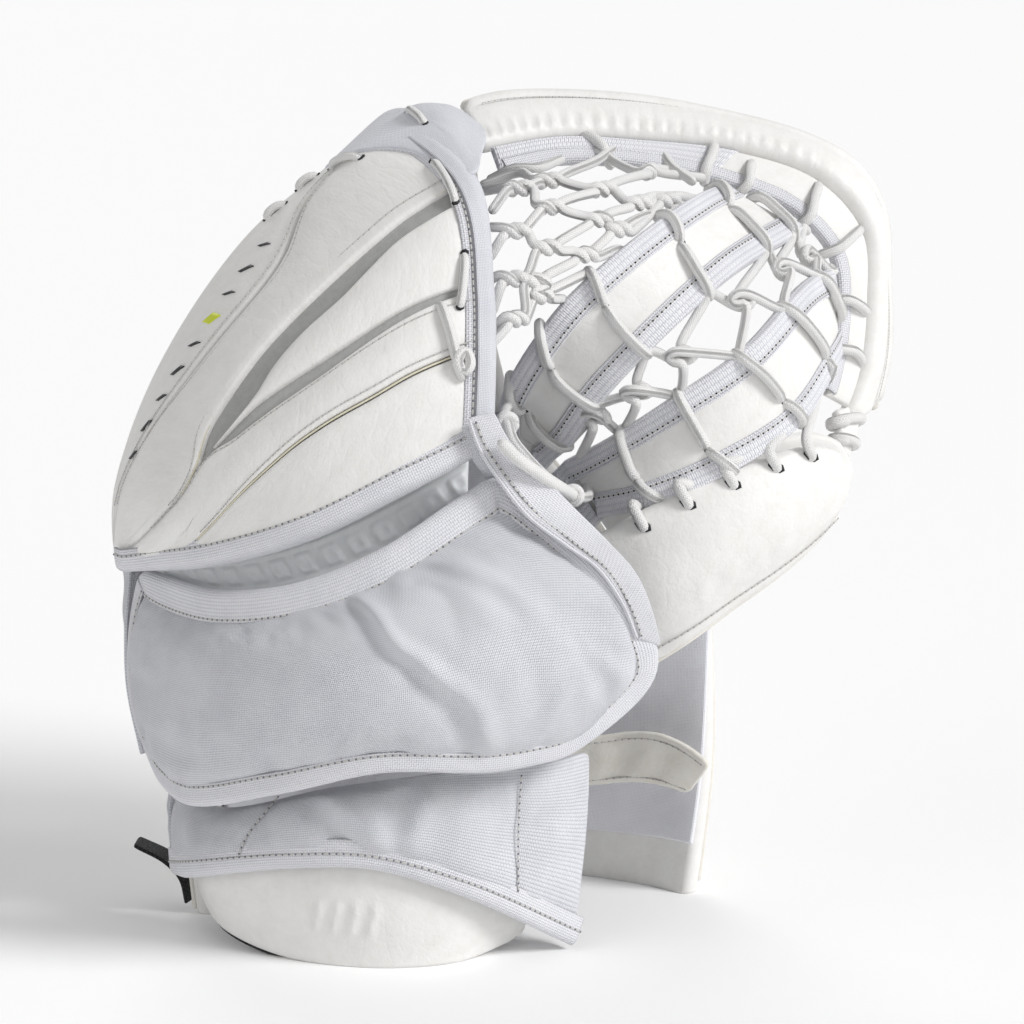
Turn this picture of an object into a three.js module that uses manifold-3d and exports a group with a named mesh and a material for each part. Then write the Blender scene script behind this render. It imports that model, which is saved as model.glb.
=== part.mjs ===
// Goalie catch glove for the left hand, standing on its cuff. Millimetres, +Z up.
// +Y points out of the catching face, +X to the thumb side, and the back of the hand faces -Y.
// The origin is on the ground under the middle of the glove.
import * as THREE from "three";
import { mergeVertices } from "three/addons/utils/BufferGeometryUtils.js";
import Module from "manifold-3d";

const wasm = await Module();
wasm.setup();

// ---- Driving dimensions -------------------------------------------------------------------
const SHELL_FOAM = 11; // padded backing under the finger panels
const PANEL = 5; // leather panels sewn on the backing
const FINGERTIP = 4; // cap over the fingertips
const GUARD = 5; // moulded sheet over the knuckles
const PAD = 12; // backhand pad
const WRAP = 7; // wrist wrap
const CUFF_SHELL = [-6, 1]; // its inner and outer face, from the shell's surface
const CUFF_LINING = [-9.5, -7];
const THUMB_SHELL = 7;
const THUMB_BOARD = 8;
const BOARD = 11; // leather-faced palm and cuff boards
const LINER = 3; // nylon lining inside the cuff
const STRAP = 3; // leather wrist strap
const TAB = 2; // webbing of the pull tab
const WEB_LEATHER = 4.5; // the web's arms and crossbar
const NET = 5; // the laced net as a sheet as thick as its laces
const RIM = 9; // padded band round the pocket's mouth
const BINDING = 4; // folded tape round an edge
const BINDING_GAP = 1.6; // between a binding and the padded edge it covers
const BACKING_GAP = 1.8; // between the padded backing and the panels sewn on it
const LACE_RADIUS = 2.9;
const EYELET_RADIUS = 2.6;
const STALL_RADIUS = 12.5; // a finger stall of the inner glove
const STALL_WALL = 2;

// ---- Rails: the lines that the panels are sewn along, each from the little finger's side -----
const FINGER_RAILS = [
  // outer edge over the little finger, up to the fingertips
  [[-181, -15, 187], [-182, 5, 217], [-163, 22, 270], [-121, 38, 332], [-75, 50, 370], [-53, 62, 389]],
  // outer seam
  [[-177, -25, 193], [-166, -22, 232], [-135, -12, 291], [-95, 0, 339], [-66, 10, 369], [-40, 20, 385]],
  // upper groove
  [[-165, -42, 207], [-128, -55, 255], [-97, -55, 294], [-57, -48, 333], [-27, -38, 357], [-14, -30, 367]],
  // lower groove
  [[-164, -45, 204], [-122, -63, 247], [-82, -70, 282], [-45, -68, 309], [-22, -62, 320], [-8, -55, 323]],
  // lower seam
  [[-161, -48, 201], [-117, -70, 237], [-77, -80, 269], [-45, -80, 287], [-22, -76, 295], [-7, -70, 298]],
  // bottom edge over the knuckles
  [[-179, -22, 187], [-135, -62, 199], [-87, -88, 218], [-45, -94, 240], [-22, -90, 251], [-8, -84, 258]],
];
const FINGERTIP_RAILS = [
  [[-52, 40, 392], [-40, 30, 395], [-26, 12, 392], [-8, -4, 381]],
  [[-52, 62, 394], [-38, 54, 399], [-24, 42, 398], [-6, 26, 388]],
  [[-50, 78, 392], [-38, 82, 395], [-26, 80, 396], [-14, 70, 391]],
];
const KNUCKLE_GUARD_RAILS = [
  [[-134, -36, 222], [-87, -60, 242], [-45, -66, 264], [-16, -60, 284]],
  [[-134, -42, 199], [-87, -66, 216], [-45, -72, 238], [-14, -66, 256]],
  [[-132, -46, 178], [-90, -69, 188], [-52, -77, 204], [-14, -74, 226]],
  [[-132, -46, 156], [-90, -72, 164], [-50, -80, 173], [-8, -76, 186]],
];
const PAD_RAILS = [
  [[-176, -9, 177], [-132, -68, 180], [-91, -92, 190], [-54, -102, 206], [-18, -98, 228], [3, -90, 240]],
  [[-181, -8, 150], [-135, -71, 157], [-92, -97, 167], [-50, -107, 180], [0, -99, 195], [52, -73, 192]],
  [[-182, -8, 120], [-137, -71, 126], [-92, -98, 137], [-45, -108, 146], [2, -98, 150], [74, -58, 146]],
  [[-175, -16, 86], [-151, -60, 81], [-106, -92, 95], [-55, -104, 108], [0, -92, 105], [52, -64, 108]],
];
const WRAP_RAILS = [
  [[-160, 3, 70], [-136, -33, 70], [-82, -68, 89], [-23, -74, 97], [24, -55, 96], [46, -25, 94]],
  [[-164, 3, 52], [-144, -37, 58], [-96, -68, 76], [-50, -77, 80], [-2, -67, 70], [44, -29, 54]],
  [[-163, 1, 28], [-149, -40, 41], [-100, -70, 54], [-60, -79, 56], [-15, -76, 42], [38, -44, 7]],
];
const CUFF_SHELL_RAILS = [
  [[-148, -2, 50], [-136, -26, 58], [-92, -50, 72], [-55, -59, 74], [-22, -57, 62], [8, -38, 44]],
  [[-150, -4, 32], [-138, -34, 36], [-98, -60, 38], [-57, -71, 40], [-22, -66, 32], [14, -38, 22]],
  [[-147, -5, 14], [-132, -36, 6], [-98, -58, -1], [-57, -69, -3], [-24, -63, -2], [12, -36, 4]],
];
const CUFF_RAILS = [
  [[-152, 12, -8], [-130, 58, -8], [-55, 92, -8], [30, 88, -8], [76, 68, -8], [101, 48, -8]],
  [[-160, 10, 70], [-136, 54, 70], [-58, 86, 70], [30, 82, 70], [82, 66, 70], [109, 50, 70]],
  [[-172, 8, 140], [-141, 48, 143], [-60, 70, 146], [20, 64, 146], [76, 56, 146], [107, 50, 146]],
];
const PALM_RAILS = [
  [[-173, 8, 145], [-141, 47, 148], [-60, 69, 151], [5, 62, 151], [45, 55, 151], [75, 49, 151]],
  [[-178, 12, 190], [-140, 43, 192], [-70, 55, 194], [-15, 50, 194], [25, 44, 193], [52, 38, 191]],
  [[-179, 22, 221], [-138, 42, 231], [-75, 46, 239], [-30, 42, 243], [-4, 36, 244], [18, 29, 240]],
];
const FINGER_BOARD_RAILS = [
  [[-179, 22, 226], [-138, 43, 236], [-75, 47, 243], [-30, 43, 247], [-8, 38, 249], [8, 33, 249]],
  [[-160, 38, 273], [-125, 56, 284], [-80, 63, 292], [-45, 62, 297], [-22, 58, 300], [-5, 52, 302]],
  [[-120, 55, 333], [-92, 73, 340], [-62, 79, 346], [-38, 79, 350], [-20, 74, 353], [-10, 68, 355]],
  [[-62, 76, 381], [-51, 86, 385], [-40, 90, 388], [-32, 90, 389], [-24, 86, 389], [-15, 79, 387]],
];
const RIM_INNER = [
  [-10, 52, 377], [30, 78, 380], [70, 88, 377], [120, 94, 371], [160, 94, 357],
  [182, 90, 332], [184, 84, 298], [180, 74, 262], [170, 62, 238],
];
const RIM_LIP = [
  [-20, 92, 393], [0, 100, 397], [30, 109, 397], [71, 114, 394], [111, 116, 386], [152, 116, 375],
  [177, 114, 362], [190, 112, 340], [193, 108, 304], [194, 104, 272], [188, 94, 240],
];
const CROSS_INNER = [
  [-5, 44, 366], [30, 67, 370], [70, 77, 367], [112, 80, 358], [146, 80, 344], [166, 76, 322],
  [169, 70, 296], [165, 60, 268], [158, 49, 248],
];
const ARM_LEFT_RAILS = [
  [[2, 16, 248], [4, 0, 266], [29, -18, 308], [57, -8, 333], [92, 28, 353], [112, 72, 355]],
  [[26, 16, 232], [34, 2, 242], [50, -14, 268], [77, -16, 297], [110, 8, 322], [150, 73, 335]],
];
const ARM_RIGHT_RAILS = [
  [[34, 16, 228], [54, 0, 242], [82, -12, 263], [116, -8, 286], [146, 24, 312], [164, 69, 314]],
  [[47, 0, 211], [73, -16, 223], [105, -14, 238], [138, 2, 256], [158, 30, 276], [165, 61, 279]],
];
const THUMB_RAILS = [
  [[38, -24, 196], [67, -24, 213], [96, -20, 226], [125, -10, 235], [150, 4, 239], [166, 17, 235]],
  [[48, -31, 166], [80, -33, 180], [110, -26, 196], [138, -13, 208], [159, 4, 216], [172, 19, 218]],
  [[70, -20, 133], [92, -20, 147], [115, -12, 162], [136, -3, 175], [154, 8, 188], [167, 18, 201]],
];
const THUMB_BOARD_RAILS = [
  [[32, 28, 226], [62, 23, 224], [96, 25, 230], [128, 34, 236], [150, 44, 238], [166, 50, 233]],
  [[58, 34, 186], [82, 28, 190], [110, 28, 199], [136, 34, 208], [158, 42, 216], [173, 50, 218]],
  [[84, 22, 140], [104, 14, 153], [124, 12, 165], [144, 17, 179], [160, 26, 192], [171, 38, 204]],
];

// ---- Geometry helpers ---------------------------------------------------------------------
const vec = (p) => new THREE.Vector3(...p);
const curve = (points, type = "centripetal") =>
  new THREE.CatmullRomCurve3(
    points.map((p) => (p.isVector3 ? p : vec(p))),
    false,
    type,
  );

// A smooth surface through rails: v runs along each rail, u from the first rail to the last.
function loft(rails) {
  const curves = rails.map((points) => curve(points));
  return (u, v) => {
    const across = curves.map((c) => c.getPointAt(v));
    if (across.length === 2) return across[0].lerp(across[1], u);
    return curve(across, "catmullrom").getPoint(u);
  };
}

// The surface's unit normal, on the side that the vector `out` points to.
function normalAt(surface, u, v, out) {
  const step = 0.01;
  const [ua, ub] = [Math.max(0, u - step), Math.min(1, u + step)];
  const [va, vb] = [Math.max(0, v - step), Math.min(1, v + step)];
  const along = surface(ub, v).sub(surface(ua, v));
  const across = surface(u, vb).sub(surface(u, va));
  const normal = along.cross(across).normalize();
  return normal.dot(out) < 0 ? normal.negate() : normal;
}

// A closed indexed geometry, with its faces turned to point out.
function closedGeometry(vertices, triangles) {
  let volume = 0;
  for (const [a, b, c] of triangles)
    volume += vertices[a].dot(vertices[b].clone().cross(vertices[c]));
  const geometry = new THREE.BufferGeometry();
  geometry.setFromPoints(vertices);
  geometry.setIndex(
    triangles.flatMap(([a, b, c]) => (volume > 0 ? [a, b, c] : [a, c, b])),
  );
  geometry.computeVertexNormals();
  return geometry;
}

// A slab on part of a surface, from `low` to `high` along its normal, thinner at its edges.
function slab(surface, options) {
  const {
    out, low, high, nu = 5, nv = 8, u = [0, 1], v = [0, 1], edge = 0.75,
  } = options;
  const outward = vec(out);
  const middle = (low + high) / 2;
  const layers = [high, low].map((offset) => {
    const points = [];
    for (let i = 0; i <= nu; i++)
      for (let j = 0; j <= nv; j++) {
        const [us, vs] = [
          THREE.MathUtils.lerp(u[0], u[1], i / nu),
          THREE.MathUtils.lerp(v[0], v[1], j / nv),
        ];
        const onEdge = i === 0 || i === nu || j === 0 || j === nv;
        const share = onEdge ? edge : 1;
        const height = middle + (offset - middle) * share;
        const normal = normalAt(surface, us, vs, outward);
        points.push(surface(us, vs).addScaledVector(normal, height));
      }
    return points;
  });
  const vertices = layers.flat();
  const layerSize = layers[0].length;
  const at = (layer, i, j) => layer * layerSize + i * (nv + 1) + j;
  const triangles = [];
  const quad = (a, b, c, d) => triangles.push([a, b, c], [a, c, d]);
  for (let i = 0; i < nu; i++)
    for (let j = 0; j < nv; j++) {
      quad(at(0, i, j), at(0, i + 1, j), at(0, i + 1, j + 1), at(0, i, j + 1));
      quad(at(1, i, j), at(1, i, j + 1), at(1, i + 1, j + 1), at(1, i + 1, j));
    }
  for (let i = 0; i < nu; i++) {
    quad(at(0, i, 0), at(1, i, 0), at(1, i + 1, 0), at(0, i + 1, 0));
    quad(at(0, i, nv), at(0, i + 1, nv), at(1, i + 1, nv), at(1, i, nv));
  }
  for (let j = 0; j < nv; j++) {
    quad(at(0, 0, j), at(0, 0, j + 1), at(1, 0, j + 1), at(1, 0, j));
    quad(at(0, nu, j), at(1, nu, j), at(1, nu, j + 1), at(0, nu, j + 1));
  }
  return closedGeometry(vertices, triangles);
}

// A strip of four-sided section swept beside a surface's edge: `place(t)` gives the middle of
// the strip, the unit vector across it and the unit vector through its thickness.
function strip(place, { steps, width, thickness, closed = false }) {
  const rings = closed ? steps : steps + 1;
  const vertices = [];
  for (let k = 0; k < rings; k++) {
    const { centre, across, through } = place(k / steps);
    for (const [a, b] of [[-1, -1], [1, -1], [1, 1], [-1, 1]])
      vertices.push(
        centre
          .clone()
          .addScaledVector(across, (a * width) / 2)
          .addScaledVector(through, (b * thickness) / 2),
      );
  }
  const triangles = [];
  const quad = (a, b, c, d) => triangles.push([a, b, c], [a, c, d]);
  for (let k = 0; k < (closed ? rings : rings - 1); k++) {
    const [from, to] = [k * 4, ((k + 1) % rings) * 4];
    for (let s = 0; s < 4; s++) {
      const next = (s + 1) % 4;
      quad(from + s, from + next, to + next, to + s);
    }
  }
  if (!closed) {
    const last = (rings - 1) * 4;
    quad(0, 3, 2, 1);
    quad(last, last + 1, last + 2, last + 3);
  }
  return closedGeometry(vertices, triangles);
}

// Binding tape just outside a slab's edge, through the same (u, v) places as the slab's grid.
function binding(surface, places, out, low, high, closed = false) {
  const outward = vec(out);
  const points = places.map(([u, v]) => surface(u, v));
  const last = points.length - 1;
  const place = (t) => {
    const k = Math.round(t * (closed ? points.length : last));
    const before = points[closed ? (k + last) % points.length : Math.max(0, k - 1)];
    const after = points[closed ? (k + 1) % points.length : Math.min(last, k + 1)];
    const [u, v] = places[k];
    const through = normalAt(surface, u, v, outward);
    const beside = after.clone().sub(before).cross(through).normalize();
    if (beside.dot(points[k].clone().sub(surface(0.5, 0.5))) < 0) beside.negate();
    const centre = points[k]
      .clone()
      .addScaledVector(through, (low + high) / 2)
      .addScaledVector(beside, BINDING_GAP + BINDING / 2);
    return { centre, across: beside, through };
  };
  const steps = closed ? points.length : last;
  return strip(place, { steps, width: BINDING, thickness: high - low, closed });
}

// Places along part of one side of a slab's grid, and all round its border.
const alongU = (nu, first, v) =>
  Array.from({ length: nu - first + 1 }, (_, i) => [(first + i) / nu, v]);
const alongV = (nv, first, u) =>
  Array.from({ length: nv - first + 1 }, (_, j) => [u, (first + j) / nv]);
const border = (nu, nv) => [
  ...alongV(nv, 0, 0),
  ...alongU(nu, 1, 1),
  ...alongV(nv, 1, 1).map(([u, v]) => [u, 1 - v]),
  ...alongU(nu, 1, 0).slice(0, -1).map(([u, v]) => [1 - u, v]),
];

function toSolid(geometry) {
  const bare = geometry.clone();
  bare.deleteAttribute("normal");
  bare.deleteAttribute("uv");
  const merged = mergeVertices(bare, 1e-3);
  return new wasm.Manifold(
    new wasm.Mesh({
      numProp: 3,
      vertProperties: merged.attributes.position.array,
      triVerts: new Uint32Array(merged.index.array),
    }),
  );
}

function toGeometry(solid) {
  const mesh = solid.getMesh();
  const geometry = new THREE.BufferGeometry();
  geometry.setAttribute(
    "position",
    new THREE.BufferAttribute(mesh.vertProperties, 3),
  );
  geometry.setIndex(new THREE.BufferAttribute(mesh.triVerts, 1));
  return geometry;
}

// Keeps what is above the ground, so that a piece stands on a flat face.
function trimmedAtGround(geometry) {
  const height = 500;
  const above = new THREE.BoxGeometry(600, 600, height);
  above.translate(0, 0, height / 2);
  return toGeometry(toSolid(geometry).intersect(toSolid(above)));
}

// ---- Materials ----------------------------------------------------------------------------
const finish = (color, roughness, metalness = 0) =>
  new THREE.MeshStandardMaterial({ color, roughness, metalness });
const LEATHER = finish("#eceae6", 0.5);
const NYLON = finish("#e6e8ef", 0.75);
const TAPE = finish("#e9ebf3", 0.65);
const LACE = finish("#efeeea", 0.8);
const GREY = finish("#a9a9a8", 0.45);
const PLASTIC = finish("#dfe1e2", 0.4);
const BLACK = finish("#15161a", 0.8);

// ---- Assembly -----------------------------------------------------------------------------
const glove = new THREE.Group();

function add(name, geometry, material) {
  const mesh = new THREE.Mesh(geometry, material);
  mesh.name = name;
  glove.add(mesh);
}

const BACK = [0, -1, 0.15]; // out of the back of the hand
const FACE = [0, 1, -0.1]; // out of the catching face

// Finger shell: a padded backing, five leather panels and two grey inserts in the grooves.
const fingerSurface = loft(FINGER_RAILS);
add(
  "finger_backing",
  slab(fingerSurface, { out: BACK, low: -SHELL_FOAM, high: -BACKING_GAP, nu: 10, nv: 9 }),
  NYLON,
);
const lastRail = FINGER_RAILS.length - 1;
const SEAM_SHARE = 0.018; // half a slit, as a share of the surface
const PANELS = [
  ["finger_side_panel", 0, 1],
  ["finger_upper_panel", 1, 2],
  ["finger_wedge_panel", 2, 3],
  ["finger_lower_panel", 3, 4],
  ["finger_knuckle_panel", 4, 5],
];
for (const [name, from, to] of PANELS)
  add(
    name,
    slab(fingerSurface, {
      out: BACK, low: 0, high: PANEL, nu: 3, nv: 8,
      u: [from / lastRail + SEAM_SHARE, to / lastRail - SEAM_SHARE],
      v: [0.06, 0.97],
    }),
    LEATHER,
  );
for (const [name, rail] of [["upper_groove_insert", 2], ["lower_groove_insert", 3]])
  add(
    name,
    slab(fingerSurface, {
      out: BACK, low: 0, high: 1.2, nu: 1, nv: 8, edge: 1,
      u: [rail / lastRail - SEAM_SHARE * 0.6, rail / lastRail + SEAM_SHARE * 0.6],
      v: [0.12, 0.96],
    }),
    GREY,
  );
add(
  "finger_edge_binding",
  binding(fingerSurface, alongU(10, 2, 1), BACK, -SHELL_FOAM, PANEL),
  TAPE,
);
add(
  "finger_bottom_binding",
  binding(fingerSurface, alongV(9, 1, 1).slice(0, -1), BACK, -SHELL_FOAM, PANEL),
  TAPE,
);
add(
  "fingertip_cap",
  slab(loft(FINGERTIP_RAILS), { out: [0, -0.3, 1], low: -FINGERTIP, high: 0, nu: 3, nv: 5 }),
  LEATHER,
);
// Recessed guard that shows in the gap over the knuckles.
add(
  "knuckle_guard",
  slab(loft(KNUCKLE_GUARD_RAILS), { out: BACK, low: -GUARD, high: 0, nu: 4, nv: 6 }),
  PLASTIC,
);

// Backhand pad with its binding.
const padSurface = loft(PAD_RAILS);
add(
  "backhand_pad",
  slab(padSurface, { out: BACK, low: -PAD, high: 0, nu: 5, nv: 8, edge: 0.6 }),
  NYLON,
);
add("backhand_binding", binding(padSurface, border(5, 8), BACK, -PAD, 0, true), TAPE);

// Wrist wrap, its lower binding, and the leather cuff shell that hangs below it.
const wrapSurface = loft(WRAP_RAILS);
add(
  "wrist_wrap",
  slab(wrapSurface, { out: BACK, low: -WRAP, high: 0, nu: 4, nv: 8 }),
  NYLON,
);
add("wrist_wrap_binding", binding(wrapSurface, alongV(8, 0, 1), BACK, -WRAP, 0.5), TAPE);
const cuffShellSurface = loft(CUFF_SHELL_RAILS);
add(
  "cuff_shell",
  trimmedAtGround(
    slab(cuffShellSurface, {
      out: BACK, low: CUFF_SHELL[0], high: CUFF_SHELL[1], nu: 4, nv: 8, edge: 0.9,
    }),
  ),
  LEATHER,
);
add(
  "cuff_shell_lining",
  slab(cuffShellSurface, {
    out: BACK, low: CUFF_LINING[0], high: CUFF_LINING[1], nu: 3, nv: 8, u: [0, 0.75], edge: 0.9,
  }),
  BLACK,
);

// Palm, cuff and finger boards: foam and plastic under leather, on the catching side.
const cuffSurface = loft(CUFF_RAILS);
add(
  "cuff_board",
  trimmedAtGround(
    slab(cuffSurface, { out: FACE, low: -BOARD, high: 0, nu: 4, nv: 11, edge: 0.9 }),
  ),
  LEATHER,
);
add(
  "cuff_liner",
  slab(cuffSurface, {
    out: FACE, low: -BOARD - 1 - LINER, high: -BOARD - 1, nu: 3, nv: 10,
    u: [0.25, 1], v: [1 / 11, 1], edge: 1,
  }),
  NYLON,
);
const palmSurface = loft(PALM_RAILS);
add(
  "palm_board",
  slab(palmSurface, { out: FACE, low: -BOARD, high: 0, nu: 3, nv: 8 }),
  LEATHER,
);
add(
  "palm_liner",
  slab(palmSurface, {
    out: FACE, low: -BOARD - 1 - LINER, high: -BOARD - 1, nu: 3, nv: 6,
    u: [0, 1], v: [1 / 8, 7 / 8], edge: 1,
  }),
  NYLON,
);
add(
  "finger_board",
  slab(loft(FINGER_BOARD_RAILS), { out: FACE, low: -BOARD, high: 0, nu: 6, nv: 7, edge: 0.6 }),
  LEATHER,
);

// The pocket: the rim band round its mouth, the web's crossbar and two arms, and the laced nets.
const rimSurface = loft([RIM_INNER, RIM_LIP]);
const RIM_OUT = [0.25, -0.2, 1];
const RIM_ROOT_END = 0.5;
const RIM_THUMB_START = 0.86;
const rimPart = (from, to, nv) =>
  slab(rimSurface, {
    out: RIM_OUT, low: -RIM / 2, high: RIM / 2, nu: 2, nv, v: [from, to], edge: 0.7,
  });
add("pocket_rim", rimPart(0.02, RIM_ROOT_END, 10), LEATHER);
add("pocket_rim_bend", rimPart(RIM_ROOT_END + 0.003, RIM_THUMB_START - 0.003, 8), LEATHER);
add("pocket_rim_thumb_end", rimPart(RIM_THUMB_START, 1, 3), LEATHER);
const crossSurface = loft([CROSS_INNER, RIM_INNER]);
const crossPart = (from, to, nv) =>
  slab(crossSurface, {
    out: RIM_OUT, low: -WEB_LEATHER / 2, high: WEB_LEATHER / 2, nu: 1, nv,
    u: [0.02, 0.93], v: [from, to], edge: 1,
  });
add("web_crossbar", crossPart(0.03, RIM_ROOT_END, 9), LEATHER);
add("web_crossbar_bend", crossPart(RIM_ROOT_END + 0.004, 0.96, 8), LEATHER);
const armLeft = loft(ARM_LEFT_RAILS);
const armRight = loft(ARM_RIGHT_RAILS);
const armOptions = {
  out: [0.2, -1, 0.6], low: -WEB_LEATHER / 2, high: WEB_LEATHER / 2, nu: 2, nv: 10, edge: 1,
};
add("web_arm_left", slab(armLeft, { ...armOptions, v: [0, 0.985] }), LEATHER);
add("web_arm_right", slab(armRight, { ...armOptions, v: [0, 0.985] }), LEATHER);

// A net hangs between two edges, each a function of the share along it, and ends at the crossbar.
function netBetween(left, right, bulge, top) {
  return (u, v) => {
    const point = left(v).lerp(right(v), u);
    point.addScaledVector(vec(bulge), 4 * u * (1 - u) * (1 - v * v));
    if (!top) return point;
    const pull = crossSurface(0, THREE.MathUtils.lerp(top[0], top[1], u));
    return point.add(pull.sub(left(1).lerp(right(1), u)).multiplyScalar(v ** 3));
  };
}
const fingerEdge = (t) => fingerSurface(1 - t, 1).add(new THREE.Vector3(9.5, SHELL_FOAM / 2, 0));
const netOptions = { out: [0.2, -1, 0.4], low: -NET / 2, high: NET / 2, edge: 1 };
add(
  "net_finger_side",
  slab(
    netBetween((t) => fingerEdge(0.1 + 0.72 * t), (t) => armLeft(0, 0.12 + 0.84 * t), [0, -6, 4],
      [0.03, 0.42]),
    { ...netOptions, nu: 5, nv: 7, u: [0.03, 0.94], v: [0, 0.965] },
  ),
  LACE,
);
add(
  "net_middle",
  slab(
    netBetween((t) => armLeft(1, 0.12 + 0.86 * t), (t) => armRight(0, 0.08 + 0.88 * t),
      [2, -6, 2], null),
    { ...netOptions, nu: 3, nv: 7, u: [0.14, 0.86], v: [0, 0.97] },
  ),
  LACE,
);

// Thumb: a leather shell with eyelets, its palm-side board and the padding between them.
const thumbSurface = loft(THUMB_RAILS);
const EYELETS = [0.22, 0.38, 0.54, 0.7, 0.84];
function thumbShell() {
  let solid = toSolid(slab(thumbSurface, { out: BACK, low: -THUMB_SHELL, high: 0, nu: 4, nv: 8 }));
  for (const v of EYELETS) {
    const hole = new THREE.CylinderGeometry(EYELET_RADIUS, EYELET_RADIUS, 30, 8);
    const normal = normalAt(thumbSurface, 0.1, v, vec(BACK));
    hole.applyQuaternion(
      new THREE.Quaternion().setFromUnitVectors(new THREE.Vector3(0, 1, 0), normal),
    );
    const centre = thumbSurface(0.1, v);
    hole.translate(centre.x, centre.y, centre.z);
    solid = solid.subtract(toSolid(hole));
  }
  return toGeometry(solid);
}
add("thumb_shell", thumbShell(), LEATHER);
const thumbBoardSurface = loft(THUMB_BOARD_RAILS);
add(
  "thumb_board",
  slab(thumbBoardSurface, { out: FACE, low: -THUMB_BOARD, high: 0, nu: 4, nv: 7 }),
  LEATHER,
);
add(
  "thumb_lacing",
  slab(
    netBetween((t) => armRight(1, 0.2 + 0.72 * t), (t) => thumbSurface(0, 0.12 + 0.82 * t),
      [0, -2, 0], null),
    { ...netOptions, nu: 2, nv: 7, u: [0.2, 0.84] },
  ),
  LACE,
);

// The inner glove: open stalls for the fingers and thumb, each a sleeve with a closed tip.
function fingerStall(length) {
  const inside = STALL_RADIUS - STALL_WALL;
  const profile = [
    [0, length], [STALL_RADIUS * 0.7, length - 4], [STALL_RADIUS, length - 14], [STALL_RADIUS, 0],
    [inside, 0], [inside, length - 14], [inside * 0.6, length - 7], [0, length - 4],
  ];
  return new THREE.LatheGeometry(
    profile.map(([r, h]) => new THREE.Vector2(r, h)).reverse(),
    10,
  );
}
const STALLS = [
  ["little", [-121, 2, 232], [-0.12, 0.42, 1], 50],
  ["ring", [-92, -6, 238], [-0.02, 0.4, 1], 66],
  ["middle", [-62, -10, 246], [0.06, 0.42, 1], 72],
  ["index", [-31, -12, 254], [0.02, 0.46, 1], 66],
  ["thumb", [84, -4, 176], [1, 0.2, 0.55], 54],
];
for (const [digit, base, direction, length] of STALLS) {
  const geometry = fingerStall(length);
  geometry.applyQuaternion(
    new THREE.Quaternion().setFromUnitVectors(
      new THREE.Vector3(0, 1, 0),
      vec(direction).normalize(),
    ),
  );
  geometry.translate(...base);
  add(`${digit}_stall`, geometry, NYLON);
}

// Wrist strap: it comes from behind the wrap and its end stands off the cuff's lining.
const strapSurface = loft([
  [[22, 36, 84], [50, 35, 86], [66, 31, 89], [80, 24, 90], [94, 15, 86], [105, 8, 79]],
  [[22, 40, 58], [48, 40, 59], [62, 38, 61], [74, 34, 62], [86, 29, 61], [95, 25, 59]],
]);
add(
  "wrist_strap",
  slab(strapSurface, { out: [0.3, -1, 0.2], low: 0, high: STRAP, nu: 2, nv: 7, edge: 1 }),
  LEATHER,
);

// Webbing pull tab at the little finger's side of the cuff.
add(
  "pull_tab",
  slab(
    loft([
      [[-155, 12, 5], [-158, 12, 18], [-166, 11, 28], [-181, 10, 37]],
      [[-150, 26, 5], [-153, 26, 18], [-163, 26, 28], [-180, 25, 37]],
    ]),
    { out: [-1, 0, -0.6], low: 0.8, high: 0.8 + TAB, nu: 1, nv: 4, edge: 1 },
  ),
  BLACK,
);

// Two cut ends of the pocket lace, each coming from its knot beside the hand.
const LACE_TAILS = [
  [
    "lace_tail_upper",
    [[34, -66, 229], [30, -78, 234], [24, -89, 240], [16, -97, 247], [9, -102, 253], [2, -103, 260]],
  ],
  [
    "lace_tail_lower",
    [[4, -68, 263], [6, -70, 256], [12, -70, 248], [19, -68, 240], [25, -64, 234], [30, -60, 229]],
  ],
];
for (const [name, route] of LACE_TAILS) {
  const section = new THREE.Shape();
  section.absarc(0, 0, LACE_RADIUS, 0, Math.PI * 2);
  add(
    name,
    new THREE.ExtrudeGeometry(section, { steps: 8, curveSegments: 4, extrudePath: curve(route) }),
    LACE,
  );
}

const box = new THREE.Box3().setFromObject(glove);
const centre = box.getCenter(new THREE.Vector3());
glove.position.set(-centre.x, -centre.y, -box.min.z);

export default glove;
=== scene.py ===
"""Looks of a goalie catch glove for the left hand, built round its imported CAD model.

Metres, +Z up: +Y points out of the catching face, +X to the thumb's side, and the back of the hand
faces -Y. Rails are in millimetres in the glove's drawing, as in the CAD model, and place() moves
them to the frame. A surface runs through rails: v along each of them and u from the first to the last.
"""

import math

import bpy
import numpy as np
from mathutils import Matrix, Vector


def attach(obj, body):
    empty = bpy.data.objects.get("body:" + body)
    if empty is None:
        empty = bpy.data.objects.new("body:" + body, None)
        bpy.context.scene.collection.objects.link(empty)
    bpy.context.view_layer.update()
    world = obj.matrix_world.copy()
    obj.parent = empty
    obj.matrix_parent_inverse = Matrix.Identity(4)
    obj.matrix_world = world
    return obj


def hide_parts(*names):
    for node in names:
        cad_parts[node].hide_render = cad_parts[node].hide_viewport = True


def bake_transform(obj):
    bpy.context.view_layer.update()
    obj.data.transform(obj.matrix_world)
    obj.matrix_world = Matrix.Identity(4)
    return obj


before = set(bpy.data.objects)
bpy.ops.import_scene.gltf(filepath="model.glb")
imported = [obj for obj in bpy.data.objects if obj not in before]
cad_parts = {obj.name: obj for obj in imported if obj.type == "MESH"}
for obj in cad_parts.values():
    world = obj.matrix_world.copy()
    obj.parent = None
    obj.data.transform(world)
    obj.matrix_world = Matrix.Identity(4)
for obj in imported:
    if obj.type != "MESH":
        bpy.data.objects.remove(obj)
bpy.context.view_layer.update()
MM = 0.001

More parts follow.
